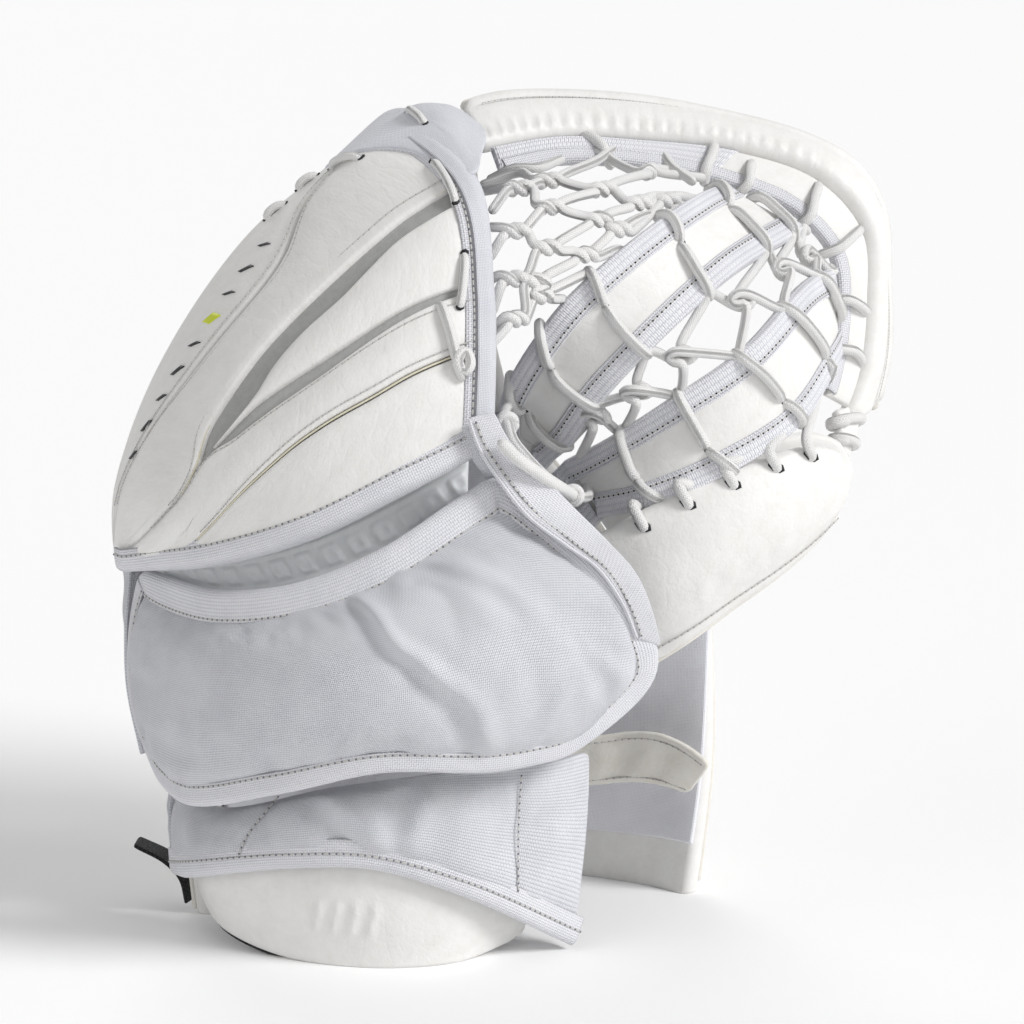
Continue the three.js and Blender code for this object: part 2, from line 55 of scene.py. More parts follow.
# ---- Rails, in millimetres of the drawing -----------------------------------------------------
# They are the CAD's, except that the guard's left end and the right arm's lower edge go a few
# millimetres further here, up to the pieces that they meet.
SHIFT = np.array([-5.704, -5.094, 0.0])  # from the drawing to the glove centred on its origin

FINGER = [
    [(-181, -15, 187), (-182, 5, 217), (-163, 22, 270), (-121, 38, 332), (-75, 50, 370), (-53, 62, 389)],
    [(-177, -25, 193), (-166, -22, 232), (-135, -12, 291), (-95, 0, 339), (-66, 10, 369), (-40, 20, 385)],
    [(-165, -42, 207), (-128, -55, 255), (-97, -55, 294), (-57, -48, 333), (-27, -38, 357), (-14, -30, 367)],
    [(-164, -45, 204), (-122, -63, 247), (-82, -70, 282), (-45, -68, 309), (-22, -62, 320), (-8, -55, 323)],
    [(-161, -48, 201), (-117, -70, 237), (-77, -80, 269), (-45, -80, 287), (-22, -76, 295), (-7, -70, 298)],
    [(-179, -22, 187), (-135, -62, 199), (-87, -88, 218), (-45, -94, 240), (-22, -90, 251), (-8, -84, 258)],
]
FINGERTIP = [
    [(-52, 40, 392), (-40, 30, 395), (-26, 12, 392), (-8, -4, 381)],
    [(-52, 62, 394), (-38, 54, 399), (-24, 42, 398), (-6, 26, 388)],
    [(-50, 78, 392), (-38, 82, 395), (-26, 80, 396), (-14, 70, 391)],
]
KNUCKLE_GUARD = [
    [(-160, -17, 212), (-134, -36, 222), (-87, -60, 242), (-45, -66, 264), (-16, -60, 284)],
    [(-162, -16, 196), (-134, -42, 199), (-87, -66, 216), (-45, -72, 238), (-14, -66, 256)],
    [(-162, -15, 180), (-132, -46, 178), (-90, -69, 188), (-52, -77, 204), (-14, -74, 226)],
    [(-160, -15, 160), (-132, -46, 156), (-90, -72, 164), (-50, -80, 173), (-8, -76, 186)],
]
PAD = [
    [(-176, -9, 177), (-132, -68, 180), (-91, -92, 190), (-54, -102, 206), (-18, -98, 228), (3, -90, 240)],
    [(-181, -8, 150), (-135, -71, 157), (-92, -97, 167), (-50, -107, 180), (0, -99, 195), (52, -73, 192)],
    [(-182, -8, 120), (-137, -71, 126), (-92, -98, 137), (-45, -108, 146), (2, -98, 150), (74, -58, 146)],
    [(-175, -16, 86), (-151, -60, 81), (-106, -92, 95), (-55, -104, 108), (0, -92, 105), (52, -64, 108)],
]
WRAP = [
    [(-160, 3, 70), (-136, -33, 70), (-82, -68, 89), (-23, -74, 97), (24, -55, 96), (46, -25, 94)],
    [(-164, 3, 52), (-144, -37, 58), (-96, -68, 76), (-50, -77, 80), (-2, -67, 70), (44, -29, 54)],
    [(-163, 1, 28), (-149, -40, 41), (-100, -70, 54), (-60, -79, 56), (-15, -76, 42), (38, -44, 7)],
]
CUFF_SHELL = [
    [(-148, -2, 50), (-136, -26, 58), (-92, -50, 72), (-55, -59, 74), (-22, -57, 62), (8, -38, 44)],
    [(-150, -4, 32), (-138, -34, 36), (-98, -60, 38), (-57, -71, 40), (-22, -66, 32), (14, -38, 22)],
    [(-147, -5, 14), (-132, -36, 6), (-98, -58, -1), (-57, -69, -3), (-24, -63, -2), (12, -36, 4)],
]
CUFF = [
    [(-152, 12, -8), (-130, 58, -8), (-55, 92, -8), (30, 88, -8), (76, 68, -8), (101, 48, -8)],
    [(-160, 10, 70), (-136, 54, 70), (-58, 86, 70), (30, 82, 70), (82, 66, 70), (109, 50, 70)],
    [(-172, 8, 140), (-141, 48, 143), (-60, 70, 146), (20, 64, 146), (76, 56, 146), (107, 50, 146)],
]
PALM = [
    [(-173, 8, 145), (-141, 47, 148), (-60, 69, 151), (5, 62, 151), (45, 55, 151), (75, 49, 151)],
    [(-178, 12, 190), (-140, 43, 192), (-70, 55, 194), (-15, 50, 194), (25, 44, 193), (52, 38, 191)],
    [(-179, 22, 221), (-138, 42, 231), (-75, 46, 239), (-30, 42, 243), (-4, 36, 244), (18, 29, 240)],
]
FINGER_BOARD = [
    [(-179, 22, 226), (-138, 43, 236), (-75, 47, 243), (-30, 43, 247), (-8, 38, 249), (8, 33, 249)],
    [(-160, 38, 273), (-125, 56, 284), (-80, 63, 292), (-45, 62, 297), (-22, 58, 300), (-5, 52, 302)],
    [(-120, 55, 333), (-92, 73, 340), (-62, 79, 346), (-38, 79, 350), (-20, 74, 353), (-10, 68, 355)],
    [(-62, 76, 381), (-51, 86, 385), (-40, 90, 388), (-32, 90, 389), (-24, 86, 389), (-15, 79, 387)],
]
RIM_INNER = [
    (-10, 52, 377), (30, 78, 380), (70, 88, 377), (120, 94, 371), (160, 94, 357),
    (182, 90, 332), (184, 84, 298), (180, 74, 262), (170, 62, 238),
]
RIM_LIP = [
    (-20, 92, 393), (0, 100, 397), (30, 109, 397), (71, 114, 394), (111, 116, 386), (152, 116, 375),
    (177, 114, 362), (190, 112, 340), (193, 108, 304), (194, 104, 272), (188, 94, 240),
]
CROSS_INNER = [
    (-5, 44, 366), (30, 67, 370), (70, 77, 367), (112, 80, 358), (146, 80, 344), (166, 76, 322),
    (169, 70, 296), (165, 60, 268), (158, 49, 248),
]
ARM_LEFT = [
    [(2, 16, 248), (4, 0, 266), (29, -18, 308), (57, -8, 333), (92, 28, 353), (112, 72, 355)],
    [(26, 16, 232), (34, 2, 242), (50, -14, 268), (77, -16, 297), (110, 8, 322), (150, 73, 335)],
]
ARM_RIGHT = [
    [(34, 16, 228), (54, 0, 242), (82, -12, 263), (116, -8, 286), (146, 24, 312), (164, 69, 314)],
    [(49, 0, 206), (76, -17, 216), (109, -15, 231), (142, 2, 250), (161, 31, 272), (167, 61, 276)],
]
THUMB = [
    [(38, -24, 196), (67, -24, 213), (96, -20, 226), (125, -10, 235), (150, 4, 239), (166, 17, 235)],
    [(48, -31, 166), (80, -33, 180), (110, -26, 196), (138, -13, 208), (159, 4, 216), (172, 19, 218)],
    [(70, -20, 133), (92, -20, 147), (115, -12, 162), (136, -3, 175), (154, 8, 188), (167, 18, 201)],
]
THUMB_BOARD = [
    [(32, 28, 226), (62, 23, 224), (96, 25, 230), (128, 34, 236), (150, 44, 238), (166, 50, 233)],
    [(58, 34, 186), (82, 28, 190), (110, 28, 199), (136, 34, 208), (158, 42, 216), (173, 50, 218)],
    [(84, 22, 140), (104, 14, 153), (124, 12, 165), (144, 17, 179), (160, 26, 192), (171, 38, 204)],
]
WRIST_STRAP = [
    [(22, 36, 84), (50, 35, 86), (66, 31, 89), (80, 24, 90), (94, 15, 86), (105, 8, 79)],
    [(22, 40, 58), (48, 40, 59), (62, 38, 61), (74, 34, 62), (86, 29, 61), (95, 25, 59)],
]
PULL_TAB = [
    [(-155, 12, 5), (-158, 12, 18), (-166, 11, 28), (-181, 10, 37)],
    [(-150, 26, 5), (-153, 26, 18), (-163, 26, 28), (-180, 25, 37)],
]
LACE_TAILS = {  # each loose end from its knot to its tip
    "lace_tail_upper": [
        (34, -66, 229), (30, -78, 234), (24, -89, 240), (16, -97, 247), (9, -102, 253), (2, -103, 260),
    ],
    "lace_tail_lower": [
        (4, -68, 263), (6, -70, 256), (12, -70, 248), (19, -68, 240), (25, -64, 234), (30, -60, 229),
    ],
}
STALLS = {  # each stall's base, direction and length
    "little_stall": ((-121, 2, 232), (-0.12, 0.42, 1), 50),
    "ring_stall": ((-92, -6, 238), (-0.02, 0.4, 1), 66),
    "middle_stall": ((-62, -10, 246), (0.06, 0.42, 1), 72),
    "index_stall": ((-31, -12, 254), (0.02, 0.46, 1), 66),
    "thumb_stall": ((84, -4, 176), (1, 0.2, 0.55), 54),
}

BACK = (0, -1, 0.15)  # out of the back of the hand
FACE = (0, 1, -0.1)  # out of the catching face


def place(points):
    """Rail millimetres to metres in the glove's own frame."""
    return (np.asarray(points, float) + SHIFT) / 1000


def unit(v):
    """Vectors of length one, along the last axis."""
    v = np.asarray(v, float)
    return v / np.maximum(np.linalg.norm(v, axis=-1, keepdims=True), 1e-12)


def hermite(p1, p2, t1, t2, w):
    """A cubic from p1 to p2 with slopes t1 and t2, at shares w."""
    a = 2 * p1 - 2 * p2 + t1 + t2
    b = -3 * p1 + 3 * p2 - 2 * t1 - t2
    return ((a * w + b) * w + t1) * w + p1


def through(points, per_span=24):
    """A centripetal Catmull-Rom curve through points, densely sampled."""
    p = np.asarray(points, float)
    p = np.vstack([2 * p[0] - p[1], p, 2 * p[-1] - p[-2]])
    out = []
    for i in range(1, len(p) - 2):
        p0, p1, p2, p3 = p[i - 1 : i + 3]
        gaps = [max(np.linalg.norm(b - a), 1e-9) ** 0.5 for a, b in ((p0, p1), (p1, p2), (p2, p3))]
        t1 = (p1 - p0) / gaps[0] - (p2 - p0) / (gaps[0] + gaps[1]) + (p2 - p1) / gaps[1]
        t2 = (p2 - p1) / gaps[1] - (p3 - p1) / (gaps[1] + gaps[2]) + (p3 - p2) / gaps[2]
        w = np.linspace(0, 1, per_span, endpoint=False)[:, None]
        out.append(hermite(p1, p2, t1 * gaps[1], t2 * gaps[1], w))
    out.append(p[-2][None])
    return np.vstack(out)


def along(path, t):
    """Points at shares t of a densely sampled path's length."""
    path = np.asarray(path, float)
    s = np.r_[0, np.cumsum(np.linalg.norm(np.diff(path, axis=0), axis=1))]
    x = np.clip(t, 0, 1) * s[-1]
    return np.stack([np.interp(x, s, path[:, k]) for k in range(3)], axis=-1)


class Surface:
    """The surface through some rails: v runs along each rail, u from the first rail to the last."""

    def __init__(self, rails, out):
        self.paths = [through(place(rail)) for rail in rails]
        self.out = np.asarray(out, float)

    def __call__(self, u, v):
        u, v = np.broadcast_arrays(np.asarray(u, float), np.asarray(v, float))
        p = np.stack([along(path, v) for path in self.paths])
        if len(p) == 2:
            return p[0] + (p[1] - p[0]) * u[..., None]
        p = np.concatenate([2 * p[:1] - p[1:2], p, 2 * p[-1:] - p[-2:-1]])
        x = np.clip(u, 0, 1) * (len(self.paths) - 1)
        i = np.minimum(x.astype(int), len(self.paths) - 2)
        w = (x - i)[..., None]
        take = lambda k: np.take_along_axis(p, (i + k)[None, ..., None], 0)[0]
        p0, p1, p2, p3 = (take(k) for k in range(4))
        extra = np.where(u < 0, u, np.where(u > 1, u - 1, 0))[..., None] * (len(self.paths) - 1)
        return hermite(p1, p2, (p2 - p0) / 2, (p3 - p1) / 2, w) + extra * (p2 - p1)

    def slopes(self, u, v, step=0.006):
        """How far a point moves for a change of u, and for a change of v."""
        u, v = np.broadcast_arrays(np.asarray(u, float), np.asarray(v, float))
        u, v = np.clip(u, step, 1 - step), np.clip(v, step, 1 - step)
        du = (self(u + step, v) - self(u - step, v)) / (2 * step)
        dv = (self(u, v + step) - self(u, v - step)) / (2 * step)
        return du, dv

    def normal(self, u, v):
        du, dv = self.slopes(u, v, 0.01)
        n = unit(np.cross(du, dv))
        return np.where((n @ self.out)[..., None] < 0, -n, n)


class FingerSurface(Surface):
    """The finger shell, whose lines all run together in its lower corner over the little finger."""

    CORNER_SPAN = 0.11

    def __call__(self, u, v):
        u, v = np.broadcast_arrays(np.asarray(u, float), np.asarray(v, float))
        start, clipped = np.zeros_like(v), np.clip(u, 0, 1)[..., None]
        first, last = self.paths[0][0], self.paths[-1][0]
        pull = first + (last - first) * clipped - super().__call__(u, start)
        fade = np.clip(1 - v / self.CORNER_SPAN, 0, 1)[..., None] ** 2
        return super().__call__(u, v) + pull * fade


class Net(Surface):
    """A sheet between two edges, bulging between them, whose far end may be drawn to a third edge."""

    def __init__(self, left, right, bulge, out, top=None):
        self.left, self.right, self.top = left, right, top
        self.bulge = np.asarray(bulge, float) / 1000
        self.out = np.asarray(out, float)

    def __call__(self, u, v):
        u, v = np.broadcast_arrays(np.asarray(u, float), np.asarray(v, float))
        left, right = self.left(v), self.right(v)
        p = left + (right - left) * u[..., None]
        p = p + self.bulge * (4 * u * (1 - u) * (1 - v * v))[..., None]
        if self.top:
            ends = self.left(np.ones_like(v)), self.right(np.ones_like(v))
            flat = ends[0] + (ends[1] - ends[0]) * u[..., None]
            p = p + (self.top(u) - flat) * (v**3)[..., None]
        return p


finger = FingerSurface(FINGER, BACK)
arm_left = Surface(ARM_LEFT, (0.2, -1, 0.6))
arm_right = Surface(ARM_RIGHT, (0.2, -1, 0.6))
thumb = Surface(THUMB, BACK)
RIM_OUT = (0.25, -0.2, 1)
cross = Surface([CROSS_INNER, RIM_INNER], RIM_OUT)
rim = Surface([RIM_INNER, RIM_LIP], RIM_OUT)
NET_OUT = (0.2, -1, 0.4)
BESIDE_FINGERS = np.array([9.5, 5.5, 0]) / 1000  # from the finger shell's edge to the net's
net_fingers = Net(
    lambda v: finger(1 - (0.1 + 0.72 * v), 1) + BESIDE_FINGERS,
    lambda v: arm_left(0, 0.12 + 0.84 * v),
    (0, -6, 4), NET_OUT, top=lambda u: cross(0, 0.03 + 0.39 * u),
)
net_middle = Net(
    lambda v: arm_left(1, 0.12 + 0.86 * v), lambda v: arm_right(0, 0.08 + 0.88 * v),
    (2, -6, 2), NET_OUT,
)


# ---- Camera: the studio camera stands low in front of the back of the hand ---------------------
CAMERA_TARGET = place((6, 0, 207))
CAMERA_DISTANCE = 1.7
CAMERA_ELEVATION = math.radians(12)
CAMERA_WIDTH = 0.495  # what the view is wide at the target


def make_camera():
    away = Vector((0, -math.cos(CAMERA_ELEVATION), math.sin(CAMERA_ELEVATION)))
    data = bpy.data.cameras.new("camera")
    data.sensor_width = 36
    data.lens = data.sensor_width * CAMERA_DISTANCE / CAMERA_WIDTH
    camera = bpy.data.objects.new("camera", data)
    camera.location = Vector(CAMERA_TARGET) + away * CAMERA_DISTANCE
    camera.rotation_euler = (-away).to_track_quat("-Z", "Y").to_euler()
    bpy.context.scene.collection.objects.link(camera)
    bpy.context.scene.camera = camera


# ---- Materials --------------------------------------------------------------------------------
def srgb(text):
    values = [int(text[k : k + 2], 16) / 255 for k in (1, 3, 5)]
    return [c / 12.92 if c < 0.04045 else ((c + 0.055) / 1.055) ** 2.4 for c in values] + [1]


class Look:
    """A node material on texture places in metres."""

    def __init__(self, name, **shader):
        self.material = bpy.data.materials.new(name)
        self.material.use_nodes = True
        self.tree = self.material.node_tree
        self.shader = self.tree.nodes["Principled BSDF"]
        self.place = self.node("TexCoord").outputs["UV"]
        for key, value in shader.items():
            self.shader.inputs[key.replace("_", " ").title().replace("Ior", "IOR")].default_value = value

    def node(self, kind, inputs=(), **settings):
        made = self.tree.nodes.new("ShaderNode" + kind)
        for key, value in settings.items():
            setattr(made, key, value)
        for key, value in dict(inputs).items():
            if isinstance(value, bpy.types.NodeSocket):
                self.tree.links.new(value, made.inputs[key])
            else:
                made.inputs[key].default_value = value
        return made

    def math(self, operation, *values):
        return self.node("Math", dict(enumerate(values)), operation=operation).outputs[0]

    def noise(self, size, detail=3, roughness=0.5):
        inputs = {"Vector": self.place, "Scale": 1 / size, "Detail": detail, "Roughness": roughness}
        return self.node("TexNoise", inputs).outputs["Fac"]

    def cells(self, size, feature="F1"):
        inputs = {"Vector": self.place, "Scale": 1 / size}
        return self.node("TexVoronoi", inputs, feature=feature).outputs["Distance"]

    def ramp(self, value, low, high, start=0.0, end=1.0):
        inputs = {"Value": value, "From Min": start, "From Max": end, "To Min": low, "To Max": high}
        return self.node("MapRange", inputs).outputs["Result"]

    def mix(self, share, first, second):
        return self.node("Mix", {0: share, 6: first, 7: second}, data_type="RGBA").outputs[2]

    def weave(self, across, along, turn=0.0):
        """Height of a plain weave of threads that wide, from 0 between threads to 1 on them."""
        turned = self.node("Mapping", {"Vector": self.place, "Rotation": (0, 0, turn)})
        parts = self.node("SeparateXYZ", {"Vector": turned.outputs[0]})
        cells, waves = [], []
        for output, size in ((parts.outputs[0], across), (parts.outputs[1], along)):
            scaled = self.math("DIVIDE", output, size)
            cells.append(self.math("FLOOR", scaled))
            waves.append(self.math("SINE", self.math("MULTIPLY", self.math("FRACT", scaled), math.pi)))
        odd = self.math("MODULO", self.math("ABSOLUTE", self.math("ADD", *cells)), 2)
        over = self.math("MULTIPLY", self.math("SUBTRACT", 1, odd), waves[0])
        under = self.math("MULTIPLY", odd, waves[1])
        crowned = self.math("MULTIPLY", waves[0], waves[1])
        return self.math("ADD", self.math("ADD", over, under), self.math("MULTIPLY", crowned, 0.5))

    def relief(self, *layers):
        """Bumps of (height socket, depth in metres), one on top of the other."""
        normal = None
        for height, depth in layers:
            inputs = {"Height": height, "Distance": depth, "Strength": 1.0}
            if normal is not None:
                inputs["Normal"] = normal
            normal = self.node("Bump", inputs).outputs["Normal"]
        self.tree.links.new(normal, self.shader.inputs["Normal"])

    def paint(self, colour, rough):
        self.tree.links.new(colour, self.shader.inputs["Base Color"])
        self.tree.links.new(rough, self.shader.inputs["Roughness"])


def leather(name, light, dark, shine=0.5):
    """Coated leather: fine pebbled grain, long soft creases and a little yellowing."""
    look = Look(name, coat_weight=0.06, coat_roughness=0.35)
    pebbles, patches = look.cells(0.0013), look.noise(0.03, 4)
    creases = look.cells(0.009, "DISTANCE_TO_EDGE")
    grain = look.noise(0.0006, 2)
    soft_creases = look.ramp(creases, 0, 1, 0, 0.12)
    look.relief((patches, 0.0012), (soft_creases, 0.00005), (pebbles, 0.00007), (grain, 0.00004))
    stain = look.ramp(look.noise(0.012, 6, 0.7), 0, 0.8, 0.4, 0.8)
    colour = look.mix(stain, srgb(light), srgb(dark))
    look.paint(colour, look.ramp(look.math("ADD", pebbles, patches), shine - 0.08, shine + 0.12, 0.3, 1.3))
    return look.material


def fabric(name, light, dark, across, along, depth, turn=0.0, sheen=0.2, rough=0.75):
    """Woven cloth, tape or braid: threads that wide, deeper between them, with painted shade between them."""
    look = Look(name, sheen_weight=sheen, sheen_roughness=0.4)
    threads = look.weave(across, along, turn)
    fuzz, patches = look.noise(across * 0.35, 2), look.noise(0.02, 4)
    look.relief((patches, 0.0012), (threads, depth), (fuzz, depth * 0.25))
    # painted shade: the colour darkens between the threads, where shade falls, and random patches vary the
    # tone
    shade = look.ramp(threads, 1, 0, 0.1, 1.1)
    thread_shade_and_patches = look.math("ADD", look.math("MULTIPLY", shade, 0.8), look.ramp(patches, -0.12, 0.16, 0.3, 0.7))
    look.paint(look.mix(thread_shade_and_patches, srgb(light), srgb(dark)), look.ramp(threads, rough + 0.12, rough - 0.05))
    return look.material


def moulded(name, light, dark, rough):
    """Moulded plastic or coated film with a fine texture and faint scuffs."""
    look = Look(name)
    texture, scuffs = look.noise(0.0008, 2), look.noise(0.006, 8, 0.8)
    look.relief((look.noise(0.025), 0.0001), (texture, 0.00006), (scuffs, 0.00004))
    look.paint(look.mix(look.ramp(scuffs, 0, 1, 0.35, 0.75), srgb(light), srgb(dark)),
               look.ramp(scuffs, rough + 0.1, rough - 0.05, 0.3, 0.7))
    return look.material


LEATHER = leather("white_leather", "#eae9e7", "#dfddd9")
AGED_LEATHER = leather("aged_leather", "#e8e5de", "#dad4c8", 0.55)
# Each cloth's second colour is its painted shade between threads, also used for random patches of tone.
NYLON = fabric("nylon_weave", "#e6e7ec", "#b6b8c2", 0.0009, 0.0009, 0.00024)
INNER_NYLON = fabric("soft_nylon", "#e2e3e9", "#bfc1ca", 0.0008, 0.0008, 0.00014)
# painted light: the linings' cloth is paler than the other inner nylon, standing in for light in the shade
# under the thumb
BRIGHTENED_LINING = fabric("lining_nylon_painted_light", "#f6f6fb", "#d8dae2", 0.0008, 0.0008, 0.00014)
TAPE = fabric("binding_tape", "#eeeef2", "#c9cad4", 0.0013, 0.0011, 0.00024, sheen=0.25)
RIBBED_TAPE = fabric("ribbed_tape", "#f2f2f6", "#ced0da", 0.003, 0.0011, 0.00034, sheen=0.25)
LACE = fabric("waxed_lace", "#eeedec", "#d6d5d4", 0.0010, 0.0010, 0.00016, turn=math.pi / 4, rough=0.6)
GREY = moulded("grey_insert", "#adadac", "#989897", 0.35)
PLASTIC = moulded("guard_plastic", "#e6e8e9", "#d9dcde", 0.42)
BLACK = fabric("black_webbing", "#1d1e22", "#08080a", 0.0016, 0.0012, 0.0003, sheen=0.1)
THREAD = fabric("thread", "#e6e4e0", "#bfbdb8", 0.0004, 0.0004, 0.00008, turn=0.7)
# painted shade: needle holes and pricks are small dots coloured grey, for the shade inside the holes
NEEDLE_HOLE_SHADE = moulded("needle_hole_shade", "#85868c", "#5c5d62", 0.8)
NEEDLE_PRICK_SHADE = moulded("needle_prick_shade", "#bab8b5", "#a19fa2", 0.8)
# painted shade: eyelet holes are near-black oval dots, coloured for the shade inside the holes
EYELET_HOLE_SHADE = moulded("eyelet_hole_shade", "#101114", "#1f2023", 0.6)
INK = moulded("black_print", "#141517", "#26272a", 0.45)
ACCENT = moulded("accent_print", "#d6e032", "#c3cf25", 0.45)
GLUE = moulded("glue_line", "#e4dfca", "#d2cbb0", 0.4)


# ---- Mesh helpers -----------------------------------------------------------------------------
class Shape:
    """Points, faces and texture places in metres, gathered into one mesh."""

    def __init__(self):
        self.points, self.faces, self.places, self.slots, self.count = [], [], [], [], 0

    def add(self, points, faces, places, slot=0):
        self.points.append(np.asarray(points, float).reshape(-1, 3))
        self.places.append(np.asarray(places, float).reshape(-1, 2))
        self.faces.extend([tuple(k + self.count for k in face) for face in faces])
        self.slots.extend([slot] * len(faces))
        self.count += len(self.points[-1])
        return self

    def piece(self, name, body, materials, nodes=()):
        """The finished mesh as a piece on a body, or on none when `body` is None."""
        materials = materials if isinstance(materials, (list, tuple)) else [materials]
        mesh = bpy.data.meshes.new(name)
        mesh.from_pydata(np.vstack(self.points).tolist(), [], self.faces)
        corners = np.zeros(len(mesh.loops), np.int32)
        mesh.loops.foreach_get("vertex_index", corners)
        layer = mesh.uv_layers.new(name="metres")
        layer.data.foreach_set("uv", np.vstack(self.places)[corners].astype(np.float32).ravel())
        mesh.polygons.foreach_set("use_smooth", [True] * len(self.faces))
        mesh.polygons.foreach_set("material_index", self.slots)
        for material in materials:
            mesh.materials.append(material)
        piece = bpy.data.objects.new(name, mesh)
        bpy.context.scene.collection.objects.link(piece)
        if body:
            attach(piece, body)
        if nodes:
            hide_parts(*nodes)
        return piece


def grid_faces(rows, columns, wrap=False):
    """Quads of a grid of points; with wrap the last column joins the first."""
    i, j = np.meshgrid(np.arange(rows - 1), np.arange(columns if wrap else columns - 1), indexing="ij")
    k = (j + 1) % columns
    corners = [i * columns + j, (i + 1) * columns + j, (i + 1) * columns + k, i * columns + k]
    return np.stack(corners, -1).reshape(-1, 4).tolist()


def steps_across(length, edge, spacing):
    """Places from 0 to length, close together round each edge and even between them."""
    bend = edge * (1 - np.cos(np.linspace(0, math.pi / 2, 5)))[:-1]
    middle = np.linspace(edge, length - edge, max(3, round((length - 2 * edge) / spacing) + 1))
    return np.concatenate([bend, middle, length - bend[::-1]])


def line(*pairs):
    """A smooth function through (v, u) pairs."""
    path = through([(v, u, 0) for v, u in pairs], 12)
    return lambda v: np.interp(v, path[:, 0], path[:, 1])


def as_line(value):
    return value if callable(value) else (lambda v: np.full_like(np.asarray(v, float), value))


def travelled(path):
    """Length of a path up to each of its points."""
    return np.r_[0, np.cumsum(np.linalg.norm(np.diff(path, axis=0), axis=1))]


def caps(rows, columns):
    """The two end faces of a tube of rings."""
    return [list(range(columns))[::-1], [k + (rows - 1) * columns for k in range(columns)]]


def round_corners(a, b, size, radii):
    """Moves places (a, b) of a rectangle so that its corners are round."""
    a, b = a.copy(), b.copy()
    for k, radius in enumerate(radii):
        if radius <= 0:
            continue
        far_a, far_b = k in (1, 2), k in (2, 3)
        p = radius - (size[0] - a if far_a else a)
        q = radius - (size[1] - b if far_b else b)
        inside = (p > 0) & (q > 0)
        share = np.where(inside, np.maximum(p, q) / np.maximum(np.hypot(p, q), 1e-12), 1)
        p, q = p * share, q * share
        a = np.where(inside, (size[0] - radius + p) if far_a else radius - p, a)
        b = np.where(inside, (size[1] - radius + q) if far_b else radius - q, b)
    return a, b


BORDER_STEP = 0.003


class Patch:
    """Part of a surface, measured in metres: `u` may be a function of v at either side."""

    def __init__(self, surface, u=(0, 1), v=(0, 1), corners=(0, 0, 0, 0)):
        self.surface, self.v, self.corners = surface, v, corners
        self.sides = [as_line(side) for side in u]
        t = np.linspace(0, 1, 60)
        across = surface(self.u_at(t, np.full(60, 0.5)), np.full(60, v[0] + (v[1] - v[0]) / 2))
        along_ = surface(self.u_at(np.full(60, 0.5), t), v[0] + (v[1] - v[0]) * t)
        self.size = [np.linalg.norm(np.diff(p, axis=0), axis=1).sum() for p in (across, along_)]

    def u_at(self, share_u, share_v):
        at = self.v[0] + (self.v[1] - self.v[0]) * share_v
        return self.sides[0](at) + (self.sides[1](at) - self.sides[0](at)) * share_u

    def uv(self, a, b):
        a, b = round_corners(a, b, self.size, self.corners)
        share_v = b / self.size[1]
        return self.u_at(a / self.size[0], share_v), self.v[0] + (self.v[1] - self.v[0]) * share_v

    def __call__(self, a, b, height=0.0):
        """Points at places in metres, at that height above the surface, and the normals there."""
        a, b, height = np.broadcast_arrays(np.asarray(a, float), np.asarray(b, float), height)
        u, v = self.uv(a, b)
        normal = self.surface.normal(u, v)
        return self.surface(u, v) + normal * height[..., None], normal

    def near(self, a, b):
        """How far places in metres are from the nearest side, where the surface is stretched too."""
        u, v = self.uv(a, b)
        du, dv = (np.linalg.norm(slope, axis=-1) for slope in self.surface.slopes(u, v))
        wide = du * np.abs(self.sides[1](v) - self.sides[0](v)) / self.size[0]
        long_ = dv * abs(self.v[1] - self.v[0]) / self.size[1]
        return np.minimum(np.minimum(a, self.size[0] - a) * wide, np.minimum(b, self.size[1] - b) * long_)

    def border(self, inset=0.0):
        """Places along the border, in metres, all the way round."""
        width, length = self.size
        a0, a1, b0, b1 = inset, width - inset, inset, length - inset
        na, nb = max(2, round(width / BORDER_STEP)), max(2, round(length / BORDER_STEP))
        a = np.concatenate([np.full(nb, a0), np.linspace(a0, a1, na + 1)[:-1], np.full(nb, a1),
                            np.linspace(a1, a0, na + 1)[:-1]])
        b = np.concatenate([np.linspace(b0, b1, nb + 1)[:-1], np.full(na, b1),
                            np.linspace(b1, b0, nb + 1)[:-1], np.full(na, b0)])
        return a, b


